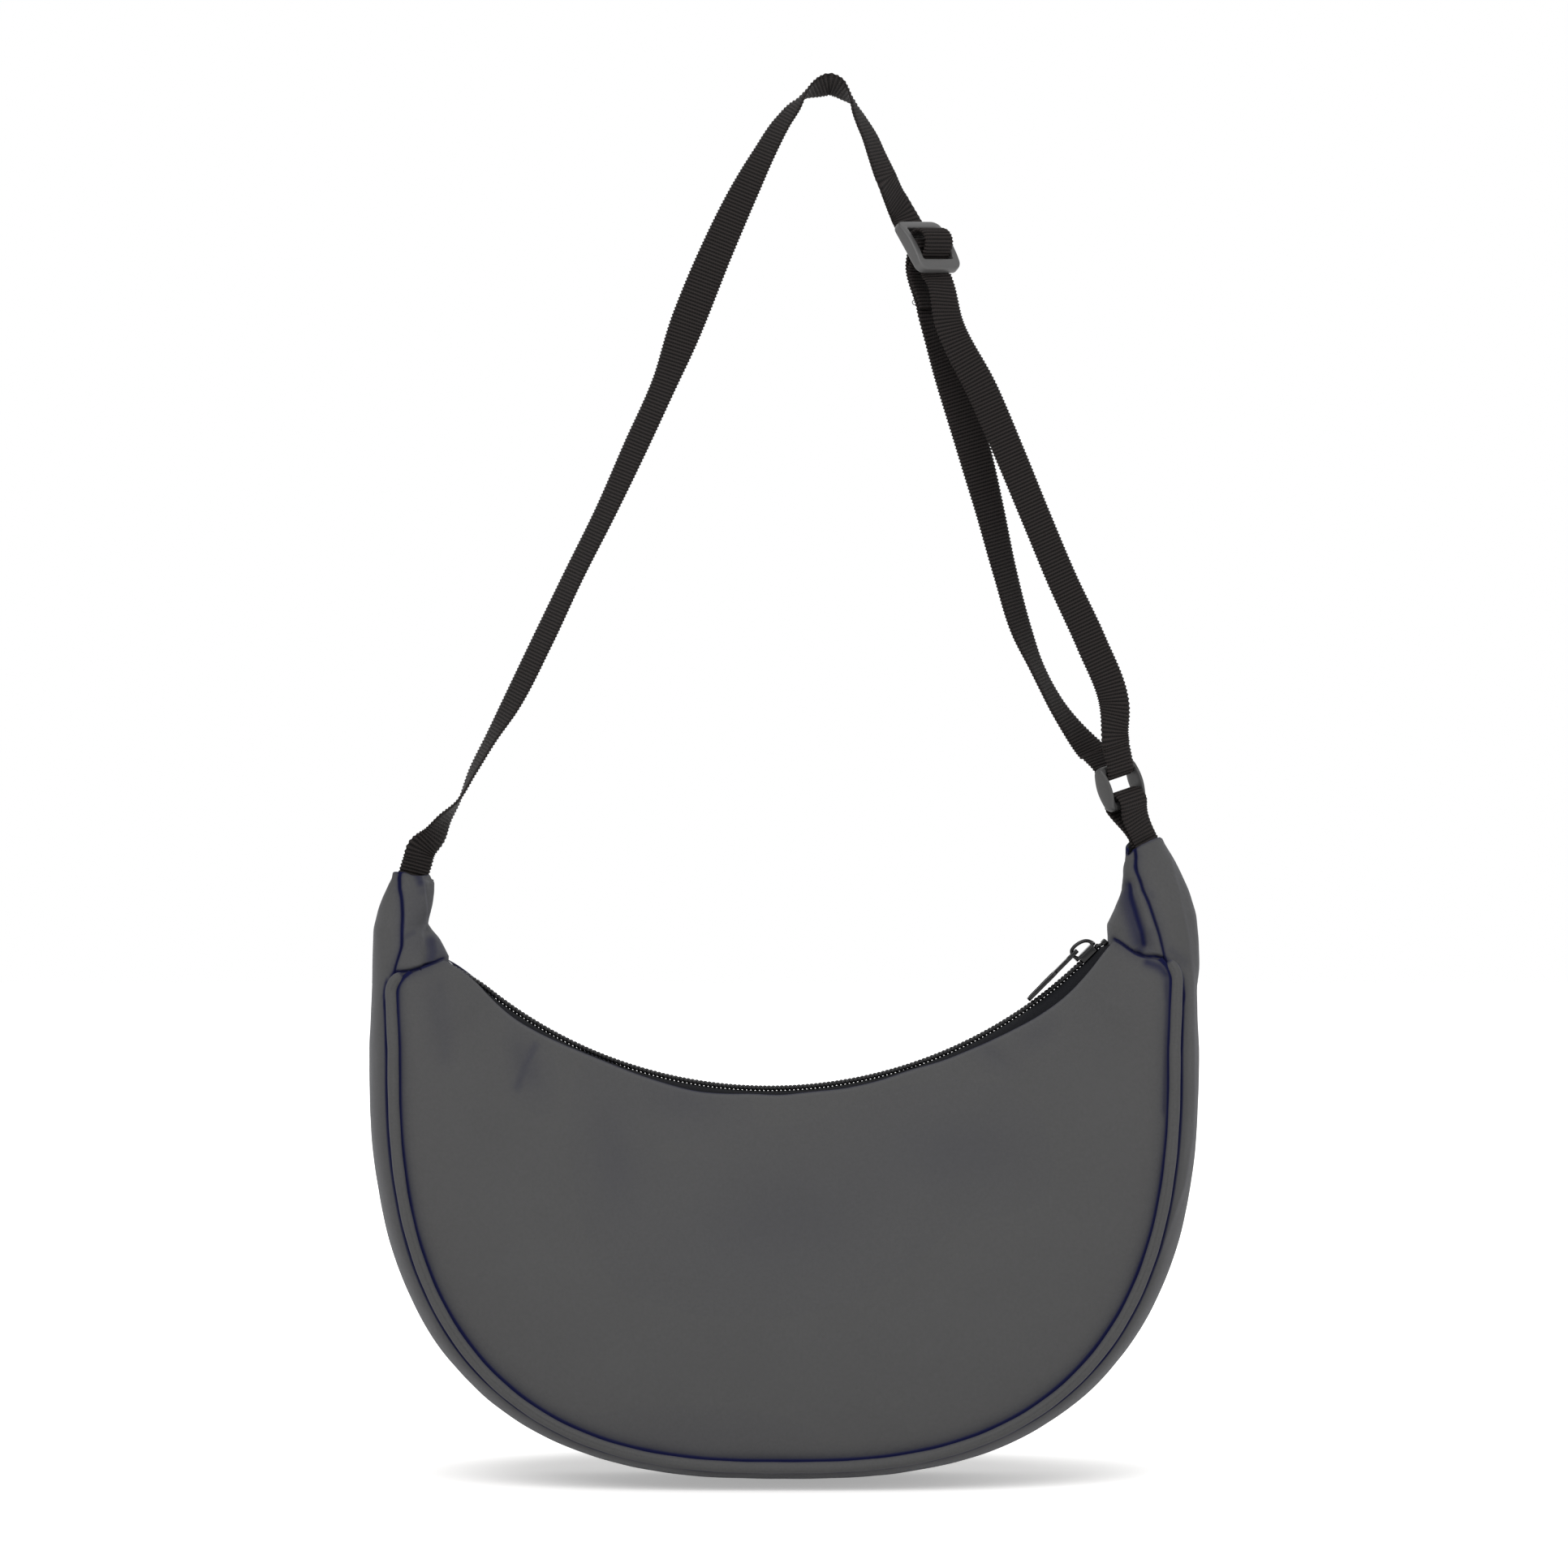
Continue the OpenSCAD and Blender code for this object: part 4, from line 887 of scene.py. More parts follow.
def piping_piece(name, side, replaces):
    near_end = np.linspace(0, 1, 31) ** 1.3
    k = np.concatenate([near_end, np.arange(1.1, STATIONS - 1.05, 0.1), (STATIONS - near_end)[::-1]])
    line = pipe_line(k)
    line[:, 1] += PIPE_REACH * np.clip(1 - np.minimum(k, STATIONS - k), 0, 1) ** 2
    line = turned_in(line)
    path = xyz(line[:, 0], side * (depth_at(k) - WALL / 2), line[:, 1])
    along = run_length(path)
    tip = from_ends(along)
    taper = np.sqrt(1 - np.clip(1 - (tip + 0.4) / PIPE_TIP, 0, 1) ** 2)
    radii = PIPE_R * (0.98 + 0.02 * np.sin(along / 3.1)) * taper
    solid = tube(path + BAG_AT, radii, PIPE_SIDES, up=(0, side, 0))
    a = 2 * np.pi * np.arange(PIPE_SIDES) / PIPE_SIDES
    off = np.degrees(np.minimum(a, 2 * np.pi - a))
    # Painted shade: navy on the cord's flanks turned away from its outer face, and at its tips
    tint = np.maximum(eased(np.clip((off - 62) / 26, 0, 1)), 0.7 * bell(tip, 0.9)[:, None])
    lay = xyz(along[:, None] + PIPE_R * a, along[:, None] - PIPE_R * a, 0) * math.sqrt(0.5) * MM
    return make_piece(name, solid, PIPING, "bag", replaces,
                      {"lay": lay.reshape(-1, 3), "seam": tint.ravel() * 0.95})


piping_piece("front_cord", FRONT, ["front_piping"])
piping_piece("rear_cord", BACK, ["rear_piping"])

# Horn caps
CAP_ROWS = 97
CAP_COLUMNS = 121
# Depths under the horn seam of the rows that lie tucked behind the panels
CAP_TUCK = np.array([10.0, 8.5, 7.0, 5.8, 4.6, 3.6, 2.8, 2.1, 1.5, 1.0, 0.5])
# How far the cap runs on under the gusset, in degrees of the section
CAP_OVERLAP = 2.0
# Half width, depth and line of each fold, as seen from the front
LEFT_CAP_FOLDS = [
    [2.2, 1.3, [(-165.2, -349.5), (-164.8, -356.0), (-165.0, -364.0)]],
    [1.6, 0.5, [(-163.5, -326.5), (-163.8, -331.5)]],
    [1.8, 0.6, [(-169.7, -349.7), (-174.5, -353.0)]],
    [2.0, -0.5, [(-167.6, -329.0), (-166.4, -334.5), (-165.6, -342.0)]],
]
# Strokes of painted navy shade in the left cap's folds and shaded facets: half width, strength and line of
# each, as seen from the front
LEFT_CAP_SHADE = [
    [2.6, 0.58, [(-163.0, -353.5), (-162.6, -358.5), (-163.6, -365.0)]],
    [4.4, 0.34, [(-160.8, -355.0), (-158.5, -361.5)]],
    [1.9, 0.62, [(-169.2, -327.0), (-168.2, -330.6)]],
    [2.6, 0.26, [(-168.0, -327.5), (-167.6, -334.0)]],
    [1.6, 0.28, [(-170.5, -350.5), (-174.8, -352.6)]],
    [10.0, 0.12, [(-168.0, -338.0), (-170.0, -352.0)]],
]
# Strokes of painted highlight along the left cap's fold ridge
LEFT_CAP_HIGHLIGHTS = [[0.28, 0.42, [(-167.2, -328.0), (-166.4, -333.0), (-165.7, -340.0), (-165.3, -348.5)]]]
RIGHT_CAP_FOLDS = [
    [2.6, 1.9, [(121.6, -331.5), (124.8, -339.0), (127.8, -348.0), (128.6, -355.0)]],
    [2.2, 1.0, [(128.6, -355.0), (126.4, -360.5)]],
    [2.4, -0.7, [(126.5, -334.5), (130.0, -343.5), (132.6, -353.0)]],
    [2.0, 0.7, [(129.5, -352.0), (132.0, -357.0), (134.5, -361.0)]],
]
# Strokes of painted navy shade in the right cap's fold valleys
RIGHT_CAP_SHADE = [
    [2.0, 0.97, [(121.8, -331.5), (122.8, -336.2), (125.4, -343.0), (127.8, -349.5), (128.6, -354.5)]],
    [3.6, 0.62, [(121.4, -333.5), (122.8, -340.0), (125.4, -348.5), (126.8, -354.0)]],
    [2.6, 0.62, [(128.0, -355.5), (126.4, -360.0), (127.5, -362.0), (132.0, -363.2)]],
    [3.0, 0.22, [(131.5, -351.0), (131.0, -359.0)]],
]


def cap_piece(name, rows, side, rim, folds, navy, highlight_strokes, seed, replaces):
    sections = horn_sections(rows, side, np.linspace(0, 1, CAP_ROWS) ** 0.95)
    tucked = np.repeat(sections[:1], len(CAP_TUCK), axis=0)
    tucked[:, 1] -= CAP_TUCK
    tucked[:, 4] -= 0.12 * CAP_TUCK + 0.03 * CAP_TUCK**2
    sections = np.concatenate([tucked, sections])
    angles = 180 + (180 - sections[:, 5:6] + CAP_OVERLAP) * across_shares(CAP_COLUMNS)
    grid = section_grid(sections, angles)
    up = run_length(grid[:, CAP_COLUMNS // 2])[:, None]
    mouth = up[-1] - up
    grid[..., 2] -= rim_drop(angles, mouth, rim)
    normals = grid_normals(grid, grid - xyz(sections[:, 0], 0, sections[:, 1])[:, None])
    place = grid + BAG_AT
    where = seen(place)
    faced = np.clip(-normals[..., 1] * 2.5 + 0.35, 0, 1)
    behind = np.clip(normals[..., 1] * 2.5, 0, 1)
    across = run_length(grid)
    sides = from_ends(across)
    sewn = np.maximum(sides - 0.5, 0)
    foot = away(seen(xyz(place[..., 0], -np.abs(place[..., 1]), place[..., 2])), horn_seam(side))
    push = 0.30 * smooth_noise(place, 17, seed) + 0.14 * smooth_noise(place, 7, seed + 1)
    push *= (1 - bell(sewn, 2.5)) * (1 - bell(mouth, 2.5)) * (1 - bell(foot, 2))
    for width, depth, line in folds:
        push += depth * bell(away(where, line), width) * faced
    push += behind * 0.6 * smooth_noise(place, 13, seed + 5) + 0.25 * np.sin(up / 2.3) * bell(sewn, 2.0)
    push += 0.75 * bell(sewn, 0.8) + 0.7 * bell(foot, 0.9) + 0.2 * bell(sewn, 3) + 0.2 * bell(foot, 3)
    surface = grid - normals * push[..., None]
    # Painted shade: navy along the seams, the foot and the mouth, and in the strokes given for the front
    tint = 0.98 * bell(np.maximum(sewn - 0.1, 0), 0.6) + 0.95 * bell(np.maximum(foot - 0.1, 0), 0.6)
    tint += 0.25 * bell(sewn, 1.8) + 0.2 * bell(foot, 1.8) + 0.8 * bell(mouth, 0.5)
    tint = np.maximum(tint, strokes(where, navy) * faced)
    # The values also hold a painted highlight along the strokes given for it
    values = {
        "lay": xyz(across - across[:, -1:] / 2, up, sewn) * MM, "seam": np.clip(tint, 0, 1),
        "painted_highlight": strokes(where, highlight_strokes) * faced
    }
    return shell_piece(name, surface + BAG_AT, grid_normals(surface, normals), HORN_WALL,
                       np.minimum(np.minimum(sides, up), mouth), CLOTH, replaces, values)


cap_piece("left_cap_cloth", LEFT_HORN, LEFT, LEFT_RIM, LEFT_CAP_FOLDS, LEFT_CAP_SHADE, LEFT_CAP_HIGHLIGHTS, 51,
          ["left_horn_cap"])
cap_piece("right_cap_cloth", RIGHT_HORN, RIGHT, RIGHT_RIM, RIGHT_CAP_FOLDS, RIGHT_CAP_SHADE, [], 61,
          ["right_horn_cap"])

# Zip: how far its chain dips towards its left end, and at its right end, and the shares where that is
CHAIN_DIP = 3.8
DIP_SHARE = 0.066
END_DIP = 2.0
END_SHARE = 0.986


def on_zip(angle, r, y):
    """Points round the hung zip at an angle from straight down, a radius and a depth."""
    share = (angle - LEFT_ANGLE) / (RIGHT_ANGLE - LEFT_ANGLE)
    r = r + CHAIN_DIP * np.clip(1 - share / DIP_SHARE, 0, 1) ** 1.6
    r = r + END_DIP * np.clip((share - END_SHARE) / (1 - END_SHARE), 0, 1)
    return BAG_AT + on_arc(angle, r, y)


def tape_piece(name, side, replaces):
    route = [
        [TAPE_DROP, SLIT_HALF + SEAM_GAP], [TAPE_DROP, 3.4], [TAPE_DROP + 0.15, TAPE_SHOULDER - 0.6],
        [TAPE_DROP + 1.0, TAPE_SHOULDER + 0.7], [MOUTH_DROP, TAPE_OUT], [MOUTH_DROP + 6, TAPE_OUT + 1.4]
    ]
    down = run_length(route)
    at = np.linspace(0, down[-1], 26)
    drop, out = smooth(down, route, at).T
    angle = np.linspace(LEFT_ANGLE, RIGHT_ANGLE, 361)[:, None]
    grid = on_zip(angle, ZIP_R + drop, side * (out + 0.10 * np.sin(angle * 31) * at / down[-1]))
    edge = np.broadcast_to(from_ends(at), grid.shape[:2])
    return shell_piece(name, grid, grid_normals(grid, [0, side, 0]), TAPE_T * 0.7, edge, TAPE,
                       replaces, {"lay": xyz(angle * ZIP_R, at, edge) * MM})


tape_piece("front_tape", FRONT, ["zip_tape_front"])
tape_piece("rear_tape", BACK, ["zip_tape_rear"])

COIL_END = 2
COIL_COUNT = int(ZIP_R * (RIGHT_ANGLE - LEFT_ANGLE) / COIL_PITCH) - 2 * COIL_END
COIL_STEP = (RIGHT_ANGLE - LEFT_ANGLE) / (COIL_COUNT + 2 * COIL_END)
COIL_PER_TURN = 16
COIL_INNER = 0.66
COIL_OUTER = 2.55
COIL_WIRE = 0.37
CORD_R = 0.62


def coil_piece(name, side, replaces):
    """A row of the coil: a flattened spring round a cord, its turns meshed with the other row's."""
    t = np.arange(COIL_COUNT * COIL_PER_TURN + 1) / COIL_PER_TURN
    c, s = np.cos(2 * np.pi * t), np.sin(2 * np.pi * t)
    y = side * (mix(COIL_INNER, COIL_OUTER, 0.5) + (COIL_OUTER - COIL_INNER) / 2 * soft(c, 0.7))
    angle = LEFT_ANGLE + COIL_STEP * (COIL_END + t + side * 0.25 * (1 - c) / 2)
    path = on_zip(angle, ZIP_R + COIL_T / 2 - (COIL_T / 2 - COIL_WIRE) * soft(s, 0.7), y)
    spring = tube(path, COIL_WIRE, 8, flat=1.3, up=xyz(np.cos(angle), 0, np.sin(angle)))
    core_angle = np.linspace(LEFT_ANGLE + COIL_STEP, RIGHT_ANGLE - COIL_STEP, 240)
    core = on_zip(core_angle, ZIP_R + COIL_T / 2 + 0.1, side * (SLIT_HALF + COIL_W - 1.75))
    return make_piece(name, joined([spring, tube(core, CORD_R, 8)]), COIL, "bag", replaces)


coil_piece("front_coil", FRONT, ["zip_coil_front"])
coil_piece("rear_coil", BACK, ["zip_coil_rear"])


def rounded_box(size):
    """A box with soft edges, centred on the origin."""
    b = np.linspace(-np.pi / 2, np.pi / 2, 9)[1:-1, None]
    a = 2 * np.pi * np.arange(28) / 28
    c, s, level, rise = (soft(v, 0.35) for v in (np.cos(a), np.sin(a), np.cos(b), np.sin(b)))
    return bar_solid(xyz(level * c, level * s, rise) * np.asarray(size) / 2)


def on_chain(angle, solid):
    """A local solid, with X along the zip, Y deep and Z away from the bag, set on the zip."""
    points, faces, ends = solid
    x, z = spun(points[:, 0], points[:, 2], math.degrees(angle))
    return on_zip(angle, ZIP_R, 0) + xyz(x, points[:, 1], z), faces, ends


STOP_TURN = math.radians(0.45)
STOP_L = 2.4
STOP_OVER = 0.4
REACH = SLIT_HALF + COIL_W


def stop(angle, y0, y1):
    box = rounded_box((STOP_L, y1 - y0, COIL_T + STOP_OVER))
    return on_chain(angle, moved(box, [0, (y0 + y1) / 2, (STOP_OVER - COIL_T) / 2]))


make_piece("bottom_stop", stop(LEFT_ANGLE + STOP_TURN, -REACH, REACH), ENAMEL, "bag",
           ["zip_bottom_stop"])
top_stops = [stop(RIGHT_ANGLE - STOP_TURN, *span) for span in ((SLIT_HALF, REACH), (-REACH, -SLIT_HALF))]
make_piece("top_stops", joined(top_stops), ENAMEL, "bag", ["zip_top_stops"])

# Slider and pull
SLIDER_ANGLE = RIGHT_ANGLE - 9.6 / ZIP_R
SLIDER_L = 11.0
RUN_GAP = 0.35
PLATE_T = 1.2
ARCH_H = 5.1
ARCH_ROD = 1.5
SLIDER_HALF = SLIT_HALF + COIL_W + RUN_GAP + 1.2
UNDER = TAPE_DROP + TAPE_T + RUN_GAP
TOP = RUN_GAP + PLATE_T
# The flanges beside the teeth are narrower and shorter than the plates
FLANGE_HALF = 0.6
FLANGE_IN = 1.7
# From the slider's front foot round to its rear foot
ARCH_ROUTE = np.array([
    [-4.3, 0, TOP - 0.4], [-4.6, 0, 2.4], [-4.6, 0, 3.9], [-3.7, 0, 5.15], [-2.2, 0, 5.55], [-0.5, 0, 5.45],
    [1.5, 0, 4.95], [3.2, 0, 4.0], [4.15, 0, 2.8], [4.5, 0, TOP - 0.4]
])


def plan(half_l, half_w, power, count, middle=(0, 0), taper=0.0):
    """A rounded plan that narrows towards its left end by taper."""
    a = 2 * np.pi * np.arange(count) / count
    x = soft(np.cos(a), power)
    return xyz(half_l * x, half_w * soft(np.sin(a), power) * (1 - taper * (0.5 - x / 2))) + middle


def rounding(edge, count):
    """Insets and rises along a rounded edge, from the flat face to the wall."""
    a = np.linspace(0, np.pi / 2, count)
    return list(zip(edge * (1 - np.sin(a)), edge * (1 - np.cos(a))))


def pillow(outline_points, low, high, edge, bulge=0.0):
    """A plate with the given plan, rounded over along both its edges."""
    along = np.roll(outline_points, -1, axis=0) - np.roll(outline_points, 1, axis=0)
    normal = unit(xyz(along[:, 1], -along[:, 0]))
    curve = rounding(edge, 4)
    levels = [(s, low + c) for s, c in curve] + [(s, high - c) for s, c in curve[::-1]]
    grid = np.array([xyz(*(outline_points - normal * s).T, z) for s, z in levels])
    rows, cols = grid.shape[:2]
    middle = outline_points.mean(axis=0)
    points = np.concatenate([grid.reshape(-1, 3), [[*middle, low - bulge], [*middle, high + bulge]]])
    ends = []
    for tip, start in ((rows * cols, 0), (rows * cols + 1, (rows - 1) * cols)):
        ends += [[tip, start + i, start + (i + 1) % cols] for i in range(cols)]
    return points, grid_faces(rows, cols, wrap=True), ends


def lofted_loop(outer, inner, low, high, edge):
    """A closed band between two outlines of equal count, with its edges rounded over."""
    curve = rounding(edge, 5)
    towards = unit(outer - inner)
    rings = [(outer - towards * s, low + c) for s, c in curve]
    rings += [(outer - towards * s, high - c) for s, c in curve[::-1]]
    rings += [(inner + towards * s, high - c) for s, c in curve]
    rings += [(inner + towards * s, low + c) for s, c in curve[::-1]]
    grid = np.stack([xyz(*line.T, z) for line, z in rings], axis=1)
    return grid.reshape(-1, 3), grid_faces(*grid.shape[:2], wrap=True, closed=True), []


def slider_solid():
    plate = plan(SLIDER_L / 2, SLIDER_HALF, 0.55, 48, taper=0.06)
    flange = plan(SLIDER_L / 2 - FLANGE_IN, FLANGE_HALF, 0.4, 32)
    post = plan(SLIDER_L / 8, SLIT_HALF - RUN_GAP, 0.8, 20)
    along = run_length(ARCH_ROUTE)
    path = smooth(along, ARCH_ROUTE, np.linspace(0, along[-1], int(round(along[-1] / 0.3)) + 1))
    rod = ARCH_ROD / 2 * (1 + 0.35 * bell(from_ends(run_length(path)), 0.9))
    flange = pillow(flange, -TAPE_DROP + RUN_GAP, RUN_GAP + 0.5, 0.3)
    return joined([
        pillow(plate, RUN_GAP, TOP, 0.45, bulge=0.12),
        pillow(plate, -UNDER - PLATE_T, -UNDER, 0.45, bulge=0.12),
        tube(path, rod, 16, flat=1.25),
        *[moved(flange, [0, flank * (SLIDER_HALF - FLANGE_HALF), 0]) for flank in (-1, 1)],
        moved(pillow(post, -UNDER - 0.3, RUN_GAP + 0.3, 0.1), [SLIDER_L / 4, 0, 0])
    ])


make_piece("slider_body", on_chain(SLIDER_ANGLE, slider_solid()), ENAMEL, "slider",
           ["zip_slider"])

PULL_L = 28.0
PULL_W = 8.6
PULL_T = 1.7
PULL_BAR_R = 0.8
PULL_X = -(SLIDER_L - SEAM_GAP) / 2 + ARCH_ROD + RUN_GAP + PULL_BAR_R
PULL_Z = TOP + ARCH_H - ARCH_ROD - PULL_BAR_R - 2 * RUN_GAP
# Half the width of the stem beside the arch
PULL_NECK = 1.0 + RUN_GAP + 1.3
# From the bar to the end of the slot for the arch, and to the tab
SLOT_L = 4.3
NECK_L = PULL_L * 0.42
PULL_RIM = 1.3
WEB_SUNK = 0.45
# Arms from the bar to the stem: half length, half width and middle
ARM_HALF_L = 2.9
ARM_HALF_W = 0.62
ARM_MIDDLE = np.array([-2.1, PULL_NECK - 0.65])


def pull_solid():
    half = (PULL_L - NECK_L) / 2 + 0.3
    middle = (-PULL_L + half, 0)
    rim = lofted_loop(plan(half, PULL_W / 2, 0.42, 64, middle),
                      plan(half - PULL_RIM, PULL_W / 2 - 1.2, 0.50, 64, middle),
                      -PULL_T / 2, PULL_T / 2, 0.35)
    web = plan(half - 1.0, PULL_W / 2 - 0.9, 0.50, 64, middle)
    stem_half = (NECK_L - SLOT_L + 1.2) / 2
    stem = plan(stem_half, PULL_NECK, 0.3, 40, (-SLOT_L - stem_half, 0))
    arms = [plan(ARM_HALF_L, ARM_HALF_W, 0.5, 28, ARM_MIDDLE * [1, flank]) for flank in (-1, 1)]
    bar = xyz(0, np.linspace(-PULL_NECK, PULL_NECK, 9), 0)
    return joined([
        rim, pillow(web, -PULL_T / 2 + WEB_SUNK, PULL_T / 2 - WEB_SUNK, 0.1),
        pillow(stem, -PULL_T / 2, PULL_T / 2, 0.4),
        *[pillow(arm, -PULL_T / 2, PULL_T / 2, 0.35) for arm in arms],
        tube(bar, PULL_BAR_R, 16, up=(0, 0, 1))
    ])


make_piece("pull_tab", on_chain(SLIDER_ANGLE, moved(pull_solid(), [PULL_X, 0, PULL_Z])), ENAMEL, "pull",
           ["zip_pull"])

# Webbing
WEB_SIDES = 15
RIB_STEPS = 6


def webbing_strip(route, across, start=0.0, end=None, cups=(), relief=1.0):
    """Ribbed webbing through route points with the direction of its width at each, or a stretch of it.

    Each cup gives a distance along the route, a reach and a rise: there the middle bows away from the bag.
    """
    along = run_length(route)
    end = along[-1] if end is None else end
    at = np.linspace(start, end, int(round((end - start) / RIB_PITCH * RIB_STEPS)) + 1)
    path = smooth(along, route, at)
    wide = smooth(along, across, at)
    heading = unit(np.gradient(path, axis=0))
    wide = unit(wide - np.sum(wide * heading, axis=1, keepdims=True) * heading)
    rib = relief * np.cos(2 * np.pi * at / RIB_PITCH)[:, None]
    u = np.linspace(1, -1, WEB_SIDES)
    body = 0.30 + 0.70 * np.sqrt(np.clip(1 - np.abs(u) ** 14, 0, 1))
    half_t = (WEB_T / 2 - 0.14 + 0.20 * rib) * body
    half_w = (WEB_W / 2 - 0.16 + 0.24 * rib) * u
    middle = path[:, None] + half_w[..., None] * wide[:, None]
    outward = unit(xyz(-heading[:, 2], 0, heading[:, 0]))
    for place, reach, rise in cups:
        bow = rise * bell(at - place, reach)[:, None] * (1 - u * u)
        middle = middle + bow[..., None] * outward[:, None]
    thick = half_t[..., None] * np.cross(heading, wide)[:, None]
    grid = np.concatenate([middle + thick, (middle - thick)[:, ::-1]], axis=1)
    lay = xyz(at[:, None], np.concatenate([u, u[::-1]]) * WEB_W / 2, 0) * MM
    return bar_solid(grid), lay.reshape(-1, 3)


def strand_across(route, twists):
    """Directions of the width: across the strand in the bag's plane, twisted about it by degrees."""
    heading = unit(np.concatenate([route[1:], route[-1:]]) - np.concatenate([route[:1], route[:-1]]))
    inward = unit(xyz(heading[:, 2], 0, -heading[:, 0]))
    a = np.radians(twists)[:, None]
    return np.cos(a) * inward + np.sin(a) * np.cross(heading, inward)


def web_piece(name, strips, body, replaces):
    solids, lays = zip(*strips)
    return make_piece(name, joined(solids), WEBBING, body, replaces, {"lay": np.concatenate(lays)})


def from_strand(place, lean, p, nod=0.0):
    """Local points of the tri-glide or the ring in the shared frame: X the width, -Y the face."""
    x, y, z = np.atleast_2d(np.asarray(p, float)).T
    y, z = spun(y, z, -nod)
    x, y = spun(x, y, HARDWARE_TURN)
    x, z = spun(x, z, lean)
    return place + xyz(x, y, z)


# The strap's left run down to the horn, from there up: shares of reach and drop, and twist
LEFT_STRAND = np.array([
    [0.9885, 0.9925, 38], [0.9800, 0.9780, 38], [0.9490, 0.9600, 52], [0.9245, 0.9392, 70],
    [0.8940, 0.9188, 88], [0.8554, 0.8775, 104], [0.8124, 0.8364, 111], [0.7670, 0.7954, 123],
    [0.6890, 0.7130, 128], [0.6147, 0.6306, 126], [0.5369, 0.5485, 128], [0.4649, 0.4660, 134],
    [0.3941, 0.3836, 137], [0.3351, 0.3015, 164], [0.2714, 0.2191, 157], [0.1988, 0.1367, 142],
    [0.1581, 0.0957, 130], [0.1121, 0.0546, 120], [0.0794, 0.0336, 110], [0.0537, 0.0213, 88],
    [0.0327, 0.0138, 70], [0.0164, 0.0095, 62],
])
# Its right run down to the tri-glide: shares of the way across and down, twist, and depth in widths
RIGHT_STRAND = np.array([
    [0, 0.0330, 60, 0], [0.0750, 0.0490, 62, 0], [0.1500, 0.0895, 74, 0], [0.2150, 0.1370, 91, 0],
    [0.2740, 0.1934, 105, 0], [0.3325, 0.2554, 112, 0], [0.4175, 0.3506, 118, 0], [0.4825, 0.4473, 122, 0],
    [0.5500, 0.5440, 127, 0], [0.5870, 0.5946, 128, 0.01], [0.6280, 0.6500, 130, 0.18],
    [0.6850, 0.7200, 134, 0.42], [0.7450, 0.7800, 139, 0.60],
])
# Rows at which the webbing stands edge on, on both sides of the crown
CROWN_LEFT = 19
CROWN_RIGHT = 3
# Rows at which the left end and the stretch that follows the tri-glide are cut off
LEFT_END_ROWS = 4
RIGHT_CUT = 4
# That stretch laps the main webbing by this much, with its ribs this much shallower
UPPER_LAP = 1.0
UPPER_RELIEF = 0.5

GLIDE_L = 25.5
GLIDE_SIDE = 3.2
GLIDE_BAR = 4.6
GLIDE_T = 3.6
GLIDE_ARCH = 5.6
CENTRE_R = 1.6
GLIDE_CORNER = 3.4
GLIDE_WINDOW_CORNER = 0.8
GLIDE_EDGE_POWER = 0.42
GLIDE_IN = WEB_W + 2 * RUN_GAP
GLIDE_W = GLIDE_IN + 2 * GLIDE_SIDE
GLIDE_WINDOW = GLIDE_L - 2 * GLIDE_BAR
GLIDE_BACK = GLIDE_T / 2
BEHIND_Y = GLIDE_BACK + RUN_GAP + WEB_T / 2
LAYER = WEB_T + SEAM_GAP
SEWN_Y = BEHIND_Y + 2 * LAYER
SEWN_Z = -GLIDE_L / 2 - 11.6
LEAD = 2.5
CUT_GAP = 0.3

left_points = xyz(-LEFT_REACH * LEFT_STRAND[:, 0], 0, -STRAP_DROP * LEFT_STRAND[:, 1])
right_points = xyz(GLIDE_AT[0] * RIGHT_STRAND[:, 0], WEB_W * RIGHT_STRAND[:, 3],
                   GLIDE_AT[2] * RIGHT_STRAND[:, 1])
low_points = from_strand(GLIDE_AT, GLIDE_LEAN, xyz(0, BEHIND_Y, GLIDE_L / 2 + np.array([LEAD, 0])), GLIDE_NOD)
hardware_twists = [180 - HARDWARE_TURN] * 2
upper_route = np.concatenate([left_points, right_points, low_points])
upper_twists = np.concatenate([LEFT_STRAND[:, 2], RIGHT_STRAND[:, 2], hardware_twists])
upper_across = strand_across(upper_route, upper_twists)
upper_along = run_length(upper_route)
end_cut = upper_along[LEFT_END_ROWS]
main_cut = upper_along[len(left_points) + RIGHT_CUT] + 0.2

end_piece = web_piece("left_end_webbing", [webbing_strip(upper_route, upper_across, 0, end_cut)], None,
                      ["strap_left_end"])
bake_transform(end_piece)
crown_cups = [(upper_along[CROWN_LEFT], 6.0, 1.3), (upper_along[len(left_points) + CROWN_RIGHT], 6.0, 1.2)]
web_piece("main_webbing", [webbing_strip(upper_route, upper_across, end_cut, main_cut, crown_cups)], "strap",
          ["strap_main"])
upper_strip = webbing_strip(upper_route, upper_across, main_cut - UPPER_LAP, None, crown_cups, UPPER_RELIEF)
upper_piece = web_piece("upper_webbing", [upper_strip], None, ["strap_upper_strand"])
upper_start = smooth(upper_along, upper_route, [main_cut + UPPER_LAP])[0]
tuple(upper_start * MM)
tuple(low_points[-1] * MM)
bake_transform(upper_piece)


def horn_middle(rows, side):
    x, z = horn_sections(rows, side, [0.5])[0, :2]
    return BAG_AT + [x, 0, z]


first_heading = unit(left_points[1] - left_points[0])
tail_route = np.stack([
    horn_middle(LEFT_HORN, LEFT), left_points[0] - (CUT_GAP + LEAD) * first_heading, left_points[0]
])
web_piece("left_tail_webbing", [webbing_strip(tail_route, [upper_across[0]] * 3)], "bag", ["strap_left_tail"])


# Webbing through the tri-glide and the ring, by routes in their local YZ plane
def arc_route(y, z, r, start, end, steps):
    a = np.radians(np.linspace(start, end, steps + 1))
    return xyz(y + r * np.cos(a), z + r * np.sin(a))


def local_strip(place, lean, route, nod=0.0):
    """Webbing along a local YZ route, as wide as the webbing along local X."""
    points = from_strand(place, lean, np.insert(route, 0, 0, axis=1), nod)
    return webbing_strip(points, np.broadcast_to(from_strand(0, lean, [1, 0, 0]), points.shape))


